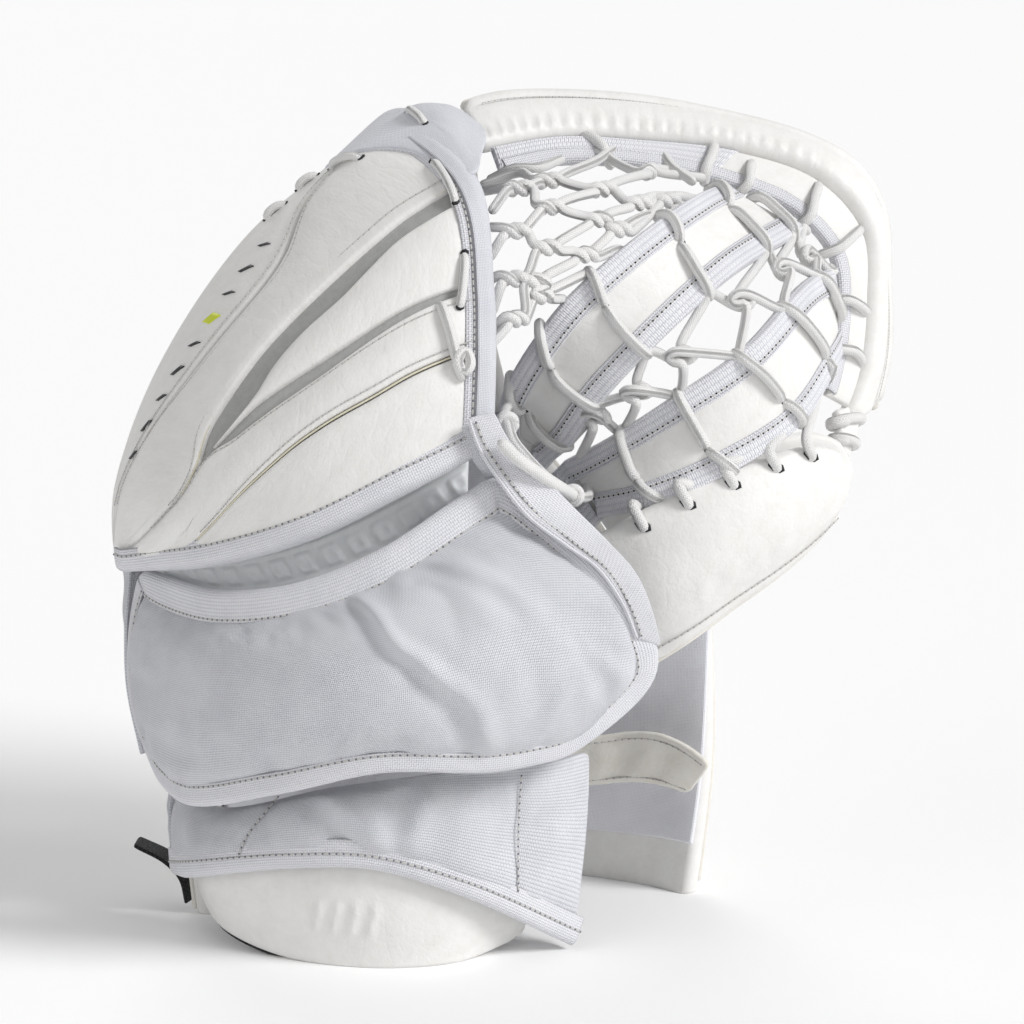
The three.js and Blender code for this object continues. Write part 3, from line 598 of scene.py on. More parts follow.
def slab(patch, low, high, edge=0.003, spacing=0.004, crown=0.0, flange=0.0, thin=0.6, relief=None,
         shape=None, slot=0):
    """A padded or leather slab on a patch, round at its edges, thin along a sewn flange."""
    shape = shape or Shape()
    a_steps = steps_across(patch.size[0], min(edge, patch.size[0] / 3), spacing)
    b_steps = steps_across(patch.size[1], min(edge, patch.size[1] / 3), spacing)
    a, b = np.meshgrid(a_steps, b_steps, indexing="ij")
    near = patch.near(a, b)
    share = np.sqrt(1 - (1 - np.clip(near / edge, 0, 1)) ** 2)
    filled = np.clip(near / max(edge, 0.004), 0, 1)
    dome = np.sqrt(np.maximum(np.sin(math.pi * a / patch.size[0]) * np.sin(math.pi * b / patch.size[1]), 0))
    if flange:
        sewn = flange(a, b) if callable(flange) else flange
        rise = np.clip((near - sewn) / (sewn * 1.3), 0, 1)
        filled = np.sqrt(1 - (1 - rise) ** 2)
        dome = dome * filled
        share = share * (thin + (1 - thin) * filled)
    middle, half = (low + high) / 2, (high - low) / 2
    top = middle + half * share + crown * dome
    if relief is not None:
        top = top + relief(*patch.uv(a, b)) * filled
    upper, normal = patch(a, b, top)
    lower, _ = patch(a, b, middle - half * share)
    rows, columns = a.shape
    inner = np.zeros((rows, columns), bool)
    inner[1:-1, 1:-1] = True
    number = np.arange(rows * columns).reshape(rows, columns)
    below = number.copy()
    below[inner] = rows * columns + np.arange(inner.sum())
    centre = rows // 2, columns // 2
    du = upper[centre[0] + 1, centre[1]] - upper[centre]
    dv = upper[centre[0], centre[1] + 1] - upper[centre]
    flip = np.cross(du, dv) @ normal[centre] < 0
    faces = grid_faces(rows, columns)
    under = [[below.flat[k] for k in face][::-1] for face in faces]
    both = faces + under
    if flip:
        both = [face[::-1] for face in both]
    places = np.stack([a, b], -1)
    shape.add(np.vstack([upper.reshape(-1, 3), lower[inner]]), both,
              np.vstack([places.reshape(-1, 2), places[inner]]), slot)
    return shape


def across_path(points, normals, centre, closed):
    """Unit vectors across a path that lies on a surface, pointing away from `centre`."""
    if closed:
        ahead = np.roll(points, -1, 0) - np.roll(points, 1, 0)
    else:
        ahead = np.gradient(points, axis=0)
    across = unit(np.cross(ahead, normals))
    middle = len(points) // 2
    return -across if across[middle] @ (points[middle] - centre) < 0 else across


def smooth_ring(values, passes, closed):
    for _ in range(passes):
        if closed:
            values = (np.roll(values, 1, 0) + 2 * values + np.roll(values, -1, 0)) / 4
        else:
            values = np.vstack([values[:1], (values[:-2] + 2 * values[1:-1] + values[2:]) / 4, values[-1:]])
    return values


TAPE_THICK = 0.0009


def tape(shape, path, normals, centre, top, bottom, outer, inner, closed=False, sink=0.0, slot=0):
    """Tape folded round an edge, `outer` past the path and `inner` back over both faces.

    `inner` may change along the path, and `sink` draws its upper edge down into the padding.
    """
    across = smooth_ring(across_path(path, normals, centre, closed), 2, closed)
    turn = np.linspace(math.pi / 2, -math.pi / 2, 11)
    back = -np.linspace(1, 0.25, 4)
    section = []
    for skin in (TAPE_THICK, 0.0):
        high, low = top + skin, bottom - skin
        reach, middle, half = outer - (TAPE_THICK - skin), (high + low) / 2, (high - low) / 2
        upper = [(0, b, high - sink * b**2) for b in back]
        fold = [(reach * math.cos(t), 0, middle + half * math.sin(t)) for t in turn]
        lower = [(0, b, low) for b in back[::-1]]
        section.append(upper + fold + lower)
    ring = np.array(section[0] + section[1][::-1])
    width = np.broadcast_to(inner, len(path))[:, None]
    sideways = ring[None, :, 0] + ring[None, :, 1] * width
    flat = np.stack([sideways.mean(0), ring[:, 2]], -1)
    round_ = travelled(flat)
    points = path[:, None] + across[:, None] * sideways[..., None] + normals[:, None] * ring[None, :, 2:]
    ends = path[:1] if closed else path[:0]
    travel = travelled(np.vstack([path, ends]))
    rows, columns = len(path), len(ring)
    if closed:
        points = np.concatenate([points, points[:1]])
        rows += 1
    places = np.stack(np.broadcast_arrays(round_[None, :], travel[:rows, None]), -1)
    faces = grid_faces(rows, columns, wrap=True)
    normal_out = np.cross(points[1, 5] - points[0, 5], points[0, 6] - points[0, 5])
    if normal_out @ normals[0] < 0:
        faces = [face[::-1] for face in faces]
    if closed:
        last = (rows - 1) * columns
        faces = [[k - last if k >= last else k for k in face] for face in faces]
        points, places = points[:-1], places[:-1]
    else:
        side = list(range(columns))
        far = [k + (rows - 1) * columns for k in side]
        half_ring = columns // 2
        for cap in (side, far[::-1]):
            faces += [[cap[k], cap[columns - 1 - k], cap[columns - 2 - k], cap[k + 1]]
                      for k in range(half_ring - 1)]
    shape.add(points, faces, places, slot)
    return across


TUBE_ENDS = [(0.35, -0.9), (0.8, -0.5)]  # rings that round an end, as (width, place) in radii


def tube(shape, path, radius, sides=10):
    """A lace along a path, with round ends."""
    path = np.asarray(path, float)
    count = max(4, round(travelled(path)[-1] / (radius * 0.7)))
    centre = along(path, np.linspace(0, 1, count))
    ahead = unit(np.gradient(centre, axis=0))
    side = unit(np.cross(ahead[0], (0.3, 0.5, 0.8)))
    sideways = []
    for direction in ahead:
        side = unit(side - direction * (side @ direction))
        sideways.append(side)
    sideways = np.array(sideways)
    other = np.cross(ahead, sideways)
    first = [centre[0] + ahead[0] * out * radius for _, out in TUBE_ENDS]
    last = [centre[-1] - ahead[-1] * out * radius for _, out in TUBE_ENDS[::-1]]
    rings = np.array([*first, *centre, *last])
    shares = [share for share, _ in TUBE_ENDS]
    widths = np.array([*shares, *[1] * count, *shares[::-1]])[:, None, None] * radius
    index = np.clip(np.arange(len(rings)) - len(TUBE_ENDS), 0, count - 1)
    angle = np.linspace(0, 2 * math.pi, sides, endpoint=False)
    cosine, sine = np.cos(angle)[None, :, None], np.sin(angle)[None, :, None]
    points = rings[:, None] + widths * (cosine * sideways[index][:, None] + sine * other[index][:, None])
    places = np.stack(np.broadcast_arrays((angle * radius)[None], travelled(rings)[:, None]), -1)
    faces = [face[::-1] for face in grid_faces(len(rings), sides, wrap=True)]
    shape.add(points, faces + caps(len(rings), sides), places)


def beads(shape, centres, ahead, normal, size, template, slot):
    """Copies of a small template at each centre: x ahead, y across and z out of the surface."""
    points, faces = template
    across = np.cross(normal, ahead)
    local = points * np.asarray(size)
    placed = (centres[:, None] + ahead[:, None] * local[None, :, :1] + across[:, None] * local[None, :, 1:2]
              + normal[:, None] * local[None, :, 2:])
    every = [[k + n * len(points) for k in face] for n in range(len(centres)) for face in faces]
    shape.add(placed, every, np.tile(points[:, :2] * 0.001, (len(centres), 1)), slot)


def capsule_template(sides=6):
    rows = [(-1, 0.35), (-0.8, 0.85), (0, 1), (0.8, 0.85), (1, 0.35)]
    angle = np.linspace(0, 2 * math.pi, sides, endpoint=False)
    points = [(x, r * math.cos(t), r * math.sin(t)) for x, r in rows for t in angle]
    faces = [face[::-1] for face in grid_faces(len(rows), sides, wrap=True)]
    return np.array(points), faces + caps(len(rows), sides)


def dot_template(sides=7):
    angle = np.linspace(0, 2 * math.pi, sides, endpoint=False)
    points = [(math.cos(t), math.sin(t), z) for z in (-1, 0.4) for t in angle] + [(0, 0, 1)]
    faces = [face[::-1] for face in grid_faces(2, sides, wrap=True)]
    faces += [[sides + k, sides + (k + 1) % sides, 2 * sides] for k in range(sides)]
    faces.append(list(range(sides))[::-1])
    return np.array(points), faces


CAPSULE, DOT = capsule_template(), dot_template()
STITCH_PITCH = 0.0034


def stitches(shape, path, normal, pitch=STITCH_PITCH, radius=0.00045, hole=0.00055):
    """A row of lockstitches along a path: thread between needle holes of that radius, drawn as dots painted
    with the holes' shade.
    """
    travel = travelled(path)
    count = max(2, int(travel[-1] / pitch))
    at = (np.arange(count) + 0.5) * travel[-1] / count
    ahead = unit(np.gradient(path, axis=0))
    pick = lambda values, places: np.stack([np.interp(places, travel, values[:, k]) for k in range(3)], -1)
    out = unit(pick(normal, at))
    forward = unit(pick(ahead, at))
    beads(shape, pick(path, at), forward, out, (pitch * 0.36, radius, radius * 0.8), CAPSULE, 0)
    if hole:
        ends = np.arange(count + 1) * travel[-1] / count
        beads(shape, pick(path, ends), unit(pick(ahead, ends)), unit(pick(normal, ends)),
              (hole, hole * 0.9, 0.00018), DOT, 1)


NET_RADIUS, WRAP_RADIUS, THIN_RADIUS = 0.0024, 0.0027, 0.0021  # laces of the nets, over edges, and thin


def on(surface, points):
    """Places (u, v, height in millimetres) of a surface as points."""
    u, v, high = np.array(points, float).T
    return surface(u, v) + surface.normal(u, v) * (high * MM)[:, None]


def lace(shape, surface, stops, radius=WRAP_RADIUS):
    """A lace that follows places (u, v, height in millimetres) of a surface."""
    tube(shape, through(on(surface, stops), 8), radius)


def eyelet(shape, surface, place_uvh, turn, size, slot=0):
    """A hole at a place of a surface, drawn as an oval dot painted with the hole's shade, with its long side
    along `turn` of (u, v).
    """
    u, v, _ = place_uvh
    du, dv = surface.slopes(u, v)
    ahead = unit(du * turn[0] + dv * turn[1])
    beads(shape, on(surface, [place_uvh]), ahead[None], surface.normal(u, v)[None], size, DOT, slot)


def seam(surface, side, span, height, count=160, shift=0.0):
    """A path along a line of a surface, with the normals there."""
    v = np.linspace(*span, count)
    u = as_line(side)(v) + shift
    normal = surface.normal(u, v)
    return surface(u, v) + normal * height, normal


def crosswise(surface, at, span, height, count=100):
    """A path across a surface, where v is a function of u."""
    u = np.linspace(*span, count)
    v = as_line(at)(u)
    normal = surface.normal(u, v)
    return surface(u, v) + normal * height, normal


def folds(size, ridges):
    """Relief of cloth folds: each runs from one (u, v) to another, with a hollow beside it."""

    def height(u, v):
        total = np.zeros_like(u)
        for (u0, v0), (u1, v1), tall, wide in ridges:
            p, q = np.array([u0 * size[0], v0 * size[1]]), np.array([u1 * size[0], v1 * size[1]])
            d, length = q - p, np.linalg.norm(q - p)
            x, y = u * size[0] - p[0], v * size[1] - p[1]
            t = (x * d[0] + y * d[1]) / length**2
            off = (x * d[1] - y * d[0]) / length
            inside = np.clip(t, 0, 1)
            fade = np.exp(-(((t - inside) * length / wide) ** 2)) * np.sin(math.pi * (0.12 + 0.76 * inside))
            crest, hollow = np.exp(-((off / wide) ** 2)), np.exp(-(((off - 1.7 * wide) / wide) ** 2))
            total = total + tall * fade * (crest - 0.7 * hollow)
        return total

    return height


def groove(distance, deep, wide):
    return -deep * np.exp(-((distance / wide) ** 2))


def keep_above_ground(shape):
    for points in shape.points:
        points[:, 2] = np.maximum(points[:, 2], 0)
    return shape


# ---- Cloth ------------------------------------------------------------------------------------
CLOTH_FRAMES = 20
CLOTH = {
    "quality": 5, "mass": 0.25, "tension_stiffness": 20, "compression_stiffness": 20, "shear_stiffness": 8,
    "bending_stiffness": 0.6, "air_damping": 3, "use_pressure": True,
}


def settle(piece, rest, sewn, pressure, loose, cap):
    """The cover after the cloth simulation, its points moved by at most `cap`."""
    held = piece.vertex_groups.new(name="sewn")
    held.add(sewn, 1.0, "REPLACE")
    cloth = piece.modifiers.new("cloth", "CLOTH")
    for key, value in CLOTH.items():
        setattr(cloth.settings, key, value)
    cloth.settings.uniform_pressure_force = pressure
    cloth.settings.shrink_min = -loose
    cloth.settings.vertex_group_mass = "sewn"
    cloth.settings.effector_weights.gravity = 0
    cloth.collision_settings.use_collision = False
    cloth.point_cache.frame_start, cloth.point_cache.frame_end = 1, CLOTH_FRAMES
    for number in range(1, CLOTH_FRAMES + 1):
        bpy.context.scene.frame_set(number)
    shown = piece.evaluated_get(bpy.context.evaluated_depsgraph_get())
    moved = points_of(shown.data) - rest
    far = np.linalg.norm(moved, axis=1, keepdims=True)
    piece.modifiers.remove(cloth)
    piece.vertex_groups.remove(held)
    bpy.context.scene.frame_set(1)
    return rest + moved * np.minimum(1, cap / np.maximum(far, 1e-9))


def points_of(mesh):
    values = np.zeros(len(mesh.vertices) * 3)
    mesh.vertices.foreach_get("co", values)
    return values.reshape(-1, 3)


def fill_out(piece, sewn, pressure, loose, cap):
    """The cover's upper face, cut a little loose, fills out between its seams."""
    settled = settle(piece, points_of(piece.data), sewn, pressure, loose, cap)
    piece.data.vertices.foreach_set("co", settled.ravel())
    piece.data.update()
    smooth = piece.modifiers.new("subdivision", "SUBSURF")
    smooth.levels = smooth.render_levels = 1


def sewn_points(patch, shape, margin, edge, spacing):
    """Indices of a slab's points that the seam or the lining holds: all but the upper face's middle."""
    steps = [steps_across(size, edge, spacing) for size in patch.size]
    a, b = np.meshgrid(*steps, indexing="ij")
    near = patch.near(a, b).ravel()
    sewn = margin(a, b).ravel() if callable(margin) else margin
    free = np.zeros(shape.count, bool)
    free[: len(near)] = near > sewn
    return np.flatnonzero(~free).tolist()


# ---- Finger shell -----------------------------------------------------------------------------
PANEL, SHELL_FOAM, BACKING_GAP = 0.005, 0.011, 0.0018
SIDE_SEAM = line((0, 0.02), (0.11, 0.08), (0.24, 0.16), (0.36, 0.215), (0.56, 0.24), (0.66, 0.22),
                 (0.78, 0.14), (0.9, 0.12), (1, 0.12))
UPPER_EDGE = line((0, 0.61), (0.12, 0.535), (0.2, 0.42), (0.24, 0.376), (0.28, 0.358), (0.41, 0.35),
                  (0.64, 0.36), (0.77, 0.366), (0.86, 0.37), (1, 0.395))
WEDGE_TOP = line((0.24, 0.43), (0.3, 0.437), (0.38, 0.437), (0.46, 0.414), (0.55, 0.41), (0.65, 0.417),
                 (0.73, 0.41), (0.81, 0.402), (0.88, 0.408), (1, 0.426))
WEDGE_BOTTOM = line((0.24, 0.436), (0.3, 0.446), (0.37, 0.463), (0.46, 0.502), (0.58, 0.54), (0.69, 0.56),
                    (0.8, 0.57), (0.94, 0.586), (1, 0.592))
LOWER_TOP = line((0, 0.616), (0.12, 0.545), (0.22, 0.448), (0.32, 0.508), (0.46, 0.562), (0.58, 0.592),
                 (0.71, 0.6), (0.83, 0.6), (1, 0.606))
LOWER_SEAM = line((0, 1.0), (0.2, 0.985), (0.25, 0.92), (0.32, 0.855), (0.45, 0.825), (0.59, 0.82),
                  (0.72, 0.82), (0.82, 0.81), (0.93, 0.8), (1, 0.79))
HALF_SLIT = 0.004  # share of the surface's width at either side of a sewn seam


def beside(side, shift):
    return lambda v: side(v) + shift


def make_finger_shell():
    backing = Patch(finger, corners=(0.004, 0.006, 0.002, 0.01))
    padded = slab(backing, -SHELL_FOAM, -BACKING_GAP, edge=0.004, spacing=0.006)
    padded.piece("finger_backing", "palm", INNER_NYLON, ["finger_backing"])
    spans = {  # each panel's sides, its span of v, and how far its middle bulges
        "finger_side_panel": ((0.0, beside(SIDE_SEAM, -HALF_SLIT)), (0.015, 0.975), 0.0012),
        "finger_upper_panel": ((beside(SIDE_SEAM, HALF_SLIT), UPPER_EDGE), (0.01, 0.975), 0.0022),
        "finger_wedge_panel": ((WEDGE_TOP, WEDGE_BOTTOM), (0.245, 0.975), 0.0014),
        "finger_lower_panel": ((LOWER_TOP, beside(LOWER_SEAM, -HALF_SLIT)), (0.01, 0.975), 0.0016),
        "finger_knuckle_panel": ((beside(LOWER_SEAM, HALF_SLIT), 1.0), (0.2, 0.975), 0.0012),
    }
    for name, (sides, span, crown) in spans.items():
        shape = slab(Patch(finger, sides, span), 0, PANEL, edge=0.0016, spacing=0.004, crown=crown)
        shape.piece(name, "palm", LEATHER, [name])
    inserts = {
        "upper_groove_insert": ((beside(UPPER_EDGE, -0.008), beside(WEDGE_TOP, 0.006)), (0.2, 0.97)),
        "lower_groove_insert": (
            (lambda v: np.maximum(UPPER_EDGE(v), WEDGE_BOTTOM(v)) - 0.006, beside(LOWER_TOP, 0.006)),
            (0.115, 0.97),
        ),
    }
    for name, (sides, span) in inserts.items():
        shape = slab(Patch(finger, sides, span), -0.001, 0.0026, edge=0.001, spacing=0.005)
        shape.piece(name, "palm", GREY, [name])
    sewing = Shape()
    rows = [
        (SIDE_SEAM, -0.016, (0.1, 0.96)), (SIDE_SEAM, 0.018, (0.1, 0.96)), (UPPER_EDGE, -0.024, (0.1, 0.97)),
        (LOWER_TOP, 0.026, (0.06, 0.965)), (LOWER_SEAM, -0.022, (0.24, 0.965)),
    ]
    for side, shift, span in rows:
        stitches(sewing, *seam(finger, side, span, PANEL + 0.0011, shift=shift), radius=0.0003, hole=0.0004)
    sewing.piece("finger_stitches", "palm", [THREAD, NEEDLE_PRICK_SHADE])
    piping = Shape()
    for side, shift, span in ((UPPER_EDGE, -0.004, (0.13, 0.97)), (LOWER_SEAM, 0.0, (0.22, 0.97))):
        path, _ = seam(finger, side, span, PANEL - 0.0006, shift=shift)
        tube(piping, path, 0.0005, 6)
    piping.piece("finger_piping", "palm", GLUE)


def make_finger_bindings():
    """Tapes round the shell's right edge, its bottom and its outer side, under the fingertip cap."""
    centre = finger(0.5, 0.5)
    low, high = -SHELL_FOAM - 0.0006, PANEL + 0.0008
    edge, bottom, outer, stitching = Shape(), Shape(), Shape(), Shape()
    path, normal = crosswise(finger, 1.0, (0.06, 1.0), 0, 110)
    across = tape(edge, path, normal, centre, high, low, outer=0.0045, inner=0.0105, sink=0.001)
    tape(edge, path, normal, centre, high + 0.0012, low - 0.0008, outer=0.0062, inner=0.0052, slot=1)
    edge.piece("finger_edge_binding", "palm", [TAPE, INNER_NYLON], ["finger_edge_binding"])
    stitches(stitching, path - across * 0.0064 + normal * (high + 0.0009), normal)
    path, normal = seam(finger, 1.0, (0.0, 0.985), 0, 130)
    across = tape(bottom, path, normal, centre, high - 0.0006, low, outer=0.005, inner=0.0085, sink=0.0008)
    bottom.piece("finger_bottom_binding", "palm", TAPE, ["finger_bottom_binding"])
    stitches(stitching, path - across * 0.0052 + normal * (high + 0.0003), normal)
    stitching.piece("finger_binding_stitches", "palm", [THREAD, NEEDLE_HOLE_SHADE])
    path, normal = seam(finger, 0.0, (0.02, 0.99), 0, 130)
    tape(outer, path, normal, centre, high - 0.003, low, outer=0.003, inner=0.006)
    outer.piece("finger_outer_binding", "palm", INNER_NYLON)


MARK_LINE = line((0.17, 0.15), (0.44, 0.2), (0.67, 0.17))
MARK_SPAN, MARKS, ACCENT_MARK = (0.19, 0.65), 9, 5
MARK_ROWS, MARK_COLUMNS, MARK_THICK = 7, 5, 0.0006


def make_marks():
    """A plain row of slanted bars where a maker would print, one of them in the accent colour."""
    shape = Shape()
    steps = [np.linspace(0, 1, count) - 0.5 for count in (MARK_ROWS, MARK_COLUMNS)]
    a, b = np.meshgrid(*steps, indexing="ij")
    number = np.arange(a.size).reshape(a.shape)
    rim = [*number[0], *number[1:, -1], *number[-1, -2::-1], *number[-2:0:-1, 0]]
    walls = [[p, q, q + a.size, p + a.size] for p, q in zip(rim, rim[1:] + rim[:1])]
    for k in range(MARKS):
        v = MARK_SPAN[0] + (MARK_SPAN[1] - MARK_SPAN[0]) * k / (MARKS - 1)
        accent = k == ACCENT_MARK
        wide, long_, tilt = (0.034, 0.024, 0.02) if accent else (0.016, 0.022 if k % 2 else 0.014, 0.03)
        uu = float(MARK_LINE(v)) - 0.03 + a * wide + b * tilt
        vv = v + b * long_
        normal = finger.normal(uu, vv)
        raised = PANEL + 0.0014
        upper, lower = (finger(uu, vv) + normal * high for high in (raised, raised - MARK_THICK))
        faces = grid_faces(MARK_ROWS, MARK_COLUMNS)
        du, dv = upper[4, 2] - upper[3, 2], upper[3, 3] - upper[3, 2]
        if np.cross(du, dv) @ normal[3, 2] < 0:
            faces = [face[::-1] for face in faces]
        under = [[n + a.size for n in face][::-1] for face in faces]
        places = np.stack([uu * 0.15, vv * 0.25], -1).reshape(-1, 2)
        shape.add(np.vstack([upper.reshape(-1, 3), lower.reshape(-1, 3)]), faces + under + walls,
                  np.vstack([places, places]), 1 if accent else 0)
    shape.piece("finger_marks", "palm", [INK, ACCENT])


def to_rail(points):
    """Points in metres as a rail in the drawing's millimetres."""
    return points / MM - SHIFT


BOARD_FOLD = [  # the cover's end, folded down over the finger board's tip
    [(-54, 88, 389), (-41, 92, 393), (-28, 91, 394), (-15, 82, 390)],
    [(-56, 91, 379), (-42, 96, 382), (-29, 95, 383), (-16, 86, 380)],
]


def make_fingertip():
    """Nylon folded over the fingertips, from the panels over the shell's edge to the back."""
    front = on(finger, [(0.0, 0.83, 5.5), (0.08, 0.86, 6.5), (0.16, 0.895, 7), (0.26, 0.955, 7.5),
                        (0.38, 0.985, 8)])
    over = on(finger, [(0.0, 0.99, 5), (0.08, 1.0, 8), (0.18, 1.0, 9.5), (0.28, 1.0, 10), (0.38, 1.0, 9.5)])
    edge = over + np.array([[0, 2, 2], [2, 2, 2], [5, 2, 1.5], [7, 2, 0], [8, 2, -1]]) * MM
    surface = Surface([to_rail(front), to_rail(edge), *FINGERTIP, *BOARD_FOLD], (0, -0.3, 1))
    shape = slab(Patch(surface, corners=(0.004, 0.012, 0.006, 0.006)), -0.003, 0.0, edge=0.002, spacing=0.003)
    shape.piece("fingertip_cap", "palm", INNER_NYLON, ["fingertip_cap"])
    loop, holes = Shape(), Shape()
    ends = ((0.178, 0.3), (0.165, 0.5))
    middle = [(0.177, 0.33, 1.6), (0.171, 0.4, 2.2), (0.166, 0.47, 1.6)]
    lace(loop, surface, [(*ends[0], -1), *middle, (*ends[1], -1)], THIN_RADIUS)
    for end in ends:
        eyelet(holes, surface, (*end, 0.2), (0, 1), (0.0026, 0.0019, 0.0005))
    loop.piece("fingertip_lace", "palm", LACE)
    holes.piece("fingertip_eyelets", "palm", EYELET_HOLE_SHADE)


def make_hand_band():
    """Nylon band from the finger shell's lower corner down behind the backhand pad's corner."""
    rails = [
        [(-17, -90, 266), (-15, -90.5, 257), (-12, -88, 250), (-8, -82, 243), (-5, -77, 236)],
        [(-11, -92, 267), (-9, -92.5, 257), (-6, -90, 249), (-2, -83.5, 242), (2, -78, 235)],
        [(-5, -89, 268), (-3, -89.5, 257), (0, -87, 249), (5, -81, 242), (9, -76, 235)],
    ]
    strip = slab(Patch(Surface(rails, BACK)), -0.002, 0.0008, edge=0.0012, spacing=0.0025)
    strip.piece("hand_band", "palm", NYLON)


def make_knuckle_guard():
    patch = Patch(Surface(KNUCKLE_GUARD, BACK), corners=(0.004,) * 4)

    def ridges(u, v):
        """Plain raised ribs: two along the guard, with slanted blocks between them."""
        along_ribs = sum(np.exp(-(((u - at) / 0.011) ** 4)) for at in (0.45, 0.65))
        block = np.abs((v * 13 - u * 4.0) % 1 - 0.5)
        slanted = np.clip((0.34 - block) * 12, 0, 1) * np.exp(-(((u - 0.55) / 0.062) ** 8))
        hollow = np.clip((0.2 - block) * 12, 0, 1) * np.exp(-(((u - 0.55) / 0.035) ** 8))
        return 0.0014 * along_ribs + 0.0014 * slanted - 0.0011 * hollow

    shape = slab(patch, -0.005, 0, edge=0.002, spacing=0.0012, relief=ridges)
    shape.piece("knuckle_guard", "palm", PLASTIC, ["knuckle_guard"])


# ---- Backhand pad, wrist wrap and cuff shell --------------------------------------------------
PAD_THICK, PAD_EDGE, PAD_SPACING = 0.012, 0.0025, 0.003
PAD_SEWN = 0.42  # share of the thickness that is left under the binding
PAD_FOLDS = [  # each from one (u, v) to another, with its height and width in metres
    ((0.04, 0.605), (0.48, 0.6), 0.0034, 0.0046),
    ((0.4, 0.595), (0.66, 0.645), 0.0034, 0.0046),
    ((0.58, 0.625), (0.93, 0.76), 0.0034, 0.0044),
    ((0.15, 0.76), (0.52, 0.825), 0.0022, 0.005),
    ((0.52, 0.8), (0.8, 0.83), 0.002, 0.0065),
    ((0.02, 0.73), (0.2, 0.665), 0.0018, 0.004),
    ((0.1, 0.79), (0.66, 0.7), 0.0018, 0.009),
    ((0.62, 0.88), (0.73, 0.965), 0.002, 0.0042),
    ((0.52, 0.9), (0.62, 0.975), 0.0014, 0.0036),
    ((0.7, 0.3), (0.86, 0.5), 0.0012, 0.009),
]
PAD_BINDING = {"top": 0.0115, "right": 0.0105, "bottom": 0.0072, "left": 0.004}


def make_backhand_pad():
    surface = Surface(PAD, BACK)
    patch = Patch(surface, corners=(0.006, 0.022, 0.03, 0.008))
    sewn = lambda a, b: binding_width(patch, a, b, PAD_BINDING)
    shape = slab(patch, -PAD_THICK, 0, edge=PAD_EDGE, spacing=PAD_SPACING, flange=sewn, thin=PAD_SEWN,
                 crown=0.003, relief=folds(patch.size, PAD_FOLDS))
    pad = shape.piece("backhand_pad", "backhand", NYLON, ["backhand_pad"])
    held = sewn_points(patch, shape, sewn, PAD_EDGE, PAD_SPACING)
    fill_out(pad, held, pressure=4.0, loose=0.02, cap=0.005)
    border, sewing = Shape(), Shape()
    a, b = patch.border()
    path, normal = patch(a, b)
    middle, half = -PAD_THICK / 2, PAD_THICK / 2 * PAD_SEWN
    width = sewn(a, b)
    across = tape(border, path, normal, surface(0.5, 0.5), middle + half + 0.0006, middle - half - 0.0006,
                  outer=0.0042, inner=width, closed=True)
    border.piece("backhand_binding", "backhand", TAPE, ["backhand_binding"])
    row = path - across * (width - 0.0016)[:, None] + normal * (middle + half + 0.0016)
    steps = np.roll(path, -1, 0) - path
    forward = ((np.roll(row, -1, 0) - row) * steps).sum(1) > 0.3 * (steps**2).sum(1)
    stitches(sewing, row[forward], normal[forward])
    sewing.piece("backhand_stitches", "backhand", [THREAD, NEEDLE_HOLE_SHADE])


CORNER_BAND = [  # tape over the pad's right side, from the finger shell's edge down
    [
        (-14, -96, 271), (-9, -98, 257), (1, -99, 241), (13, -95, 225), (29, -87, 211), (45, -77, 197),
        (57, -69, 178), (64, -63, 160),
    ],
    [
        (-2, -93, 273), (5, -94, 260), (17, -92, 247), (34, -82, 227), (50, -73, 209), (64, -64, 191),
        (72, -58, 171), (76, -54, 154),
    ],
]


def make_corner_band():
    """The pad's right binding goes on over its corner to the finger shell's edge."""
    surface = Surface(CORNER_BAND, BACK)
    patch = Patch(surface, corners=(0.002,) * 4)
    ripple = lambda u, v: 0.0007 * np.sin(v * 19) * np.sin(u * math.pi)
    band = slab(patch, -0.0012, 0.0012, edge=0.0011, spacing=0.0022, crown=0.0009, relief=ripple)
    path, _ = seam(surface, 0.03, (0.01, 0.99), 0.0005)
    tube(band, path, 0.0012, 8)
    band.piece("backhand_corner_band", "backhand", TAPE)
    sewing = Shape()
    stitches(sewing, *seam(surface, 0.2, (0.02, 0.98), 0.0021))
    sewing.piece("corner_band_stitches", "backhand", [THREAD, NEEDLE_HOLE_SHADE])


def binding_width(patch, a, b, widths):
    """Width of a binding at places round a patch, changing smoothly from side to side."""
    (long_a, long_b), soft = patch.size, 0.02
    near = {"top": a, "bottom": long_a - a, "left": b, "right": long_b - b}
    weights = {side: np.exp(-np.clip(at, 0, None) / soft) ** 2 for side, at in near.items()}
    return sum(weights[side] * widths[side] for side in near) / sum(weights.values())


WRAP_THICK, WRAP_EDGE, WRAP_SPACING = 0.007, 0.002, 0.0034
WRAP_SEAMS = (
    line((-0.1, 0.33), (0.4, 0.33), (0.75, 0.3), (1.1, 0.285)),
    line((-0.1, 0.79), (0.5, 0.815), (1.1, 0.85)),
)
WRAP_FOLDS = [
    ((0.12, 0.43), (0.86, 0.56), 0.0042, 0.0055),
    ((0.14, 0.51), (0.82, 0.575), 0.003, 0.005),
    ((0.2, 0.63), (0.85, 0.62), 0.0036, 0.0055),
    ((0.62, 0.86), (0.46, 0.99), 0.0026, 0.005),
    ((0.84, 0.88), (0.66, 0.99), 0.0022, 0.0045),
    ((0.2, 0.12), (0.8, 0.16), 0.0016, 0.006),
]


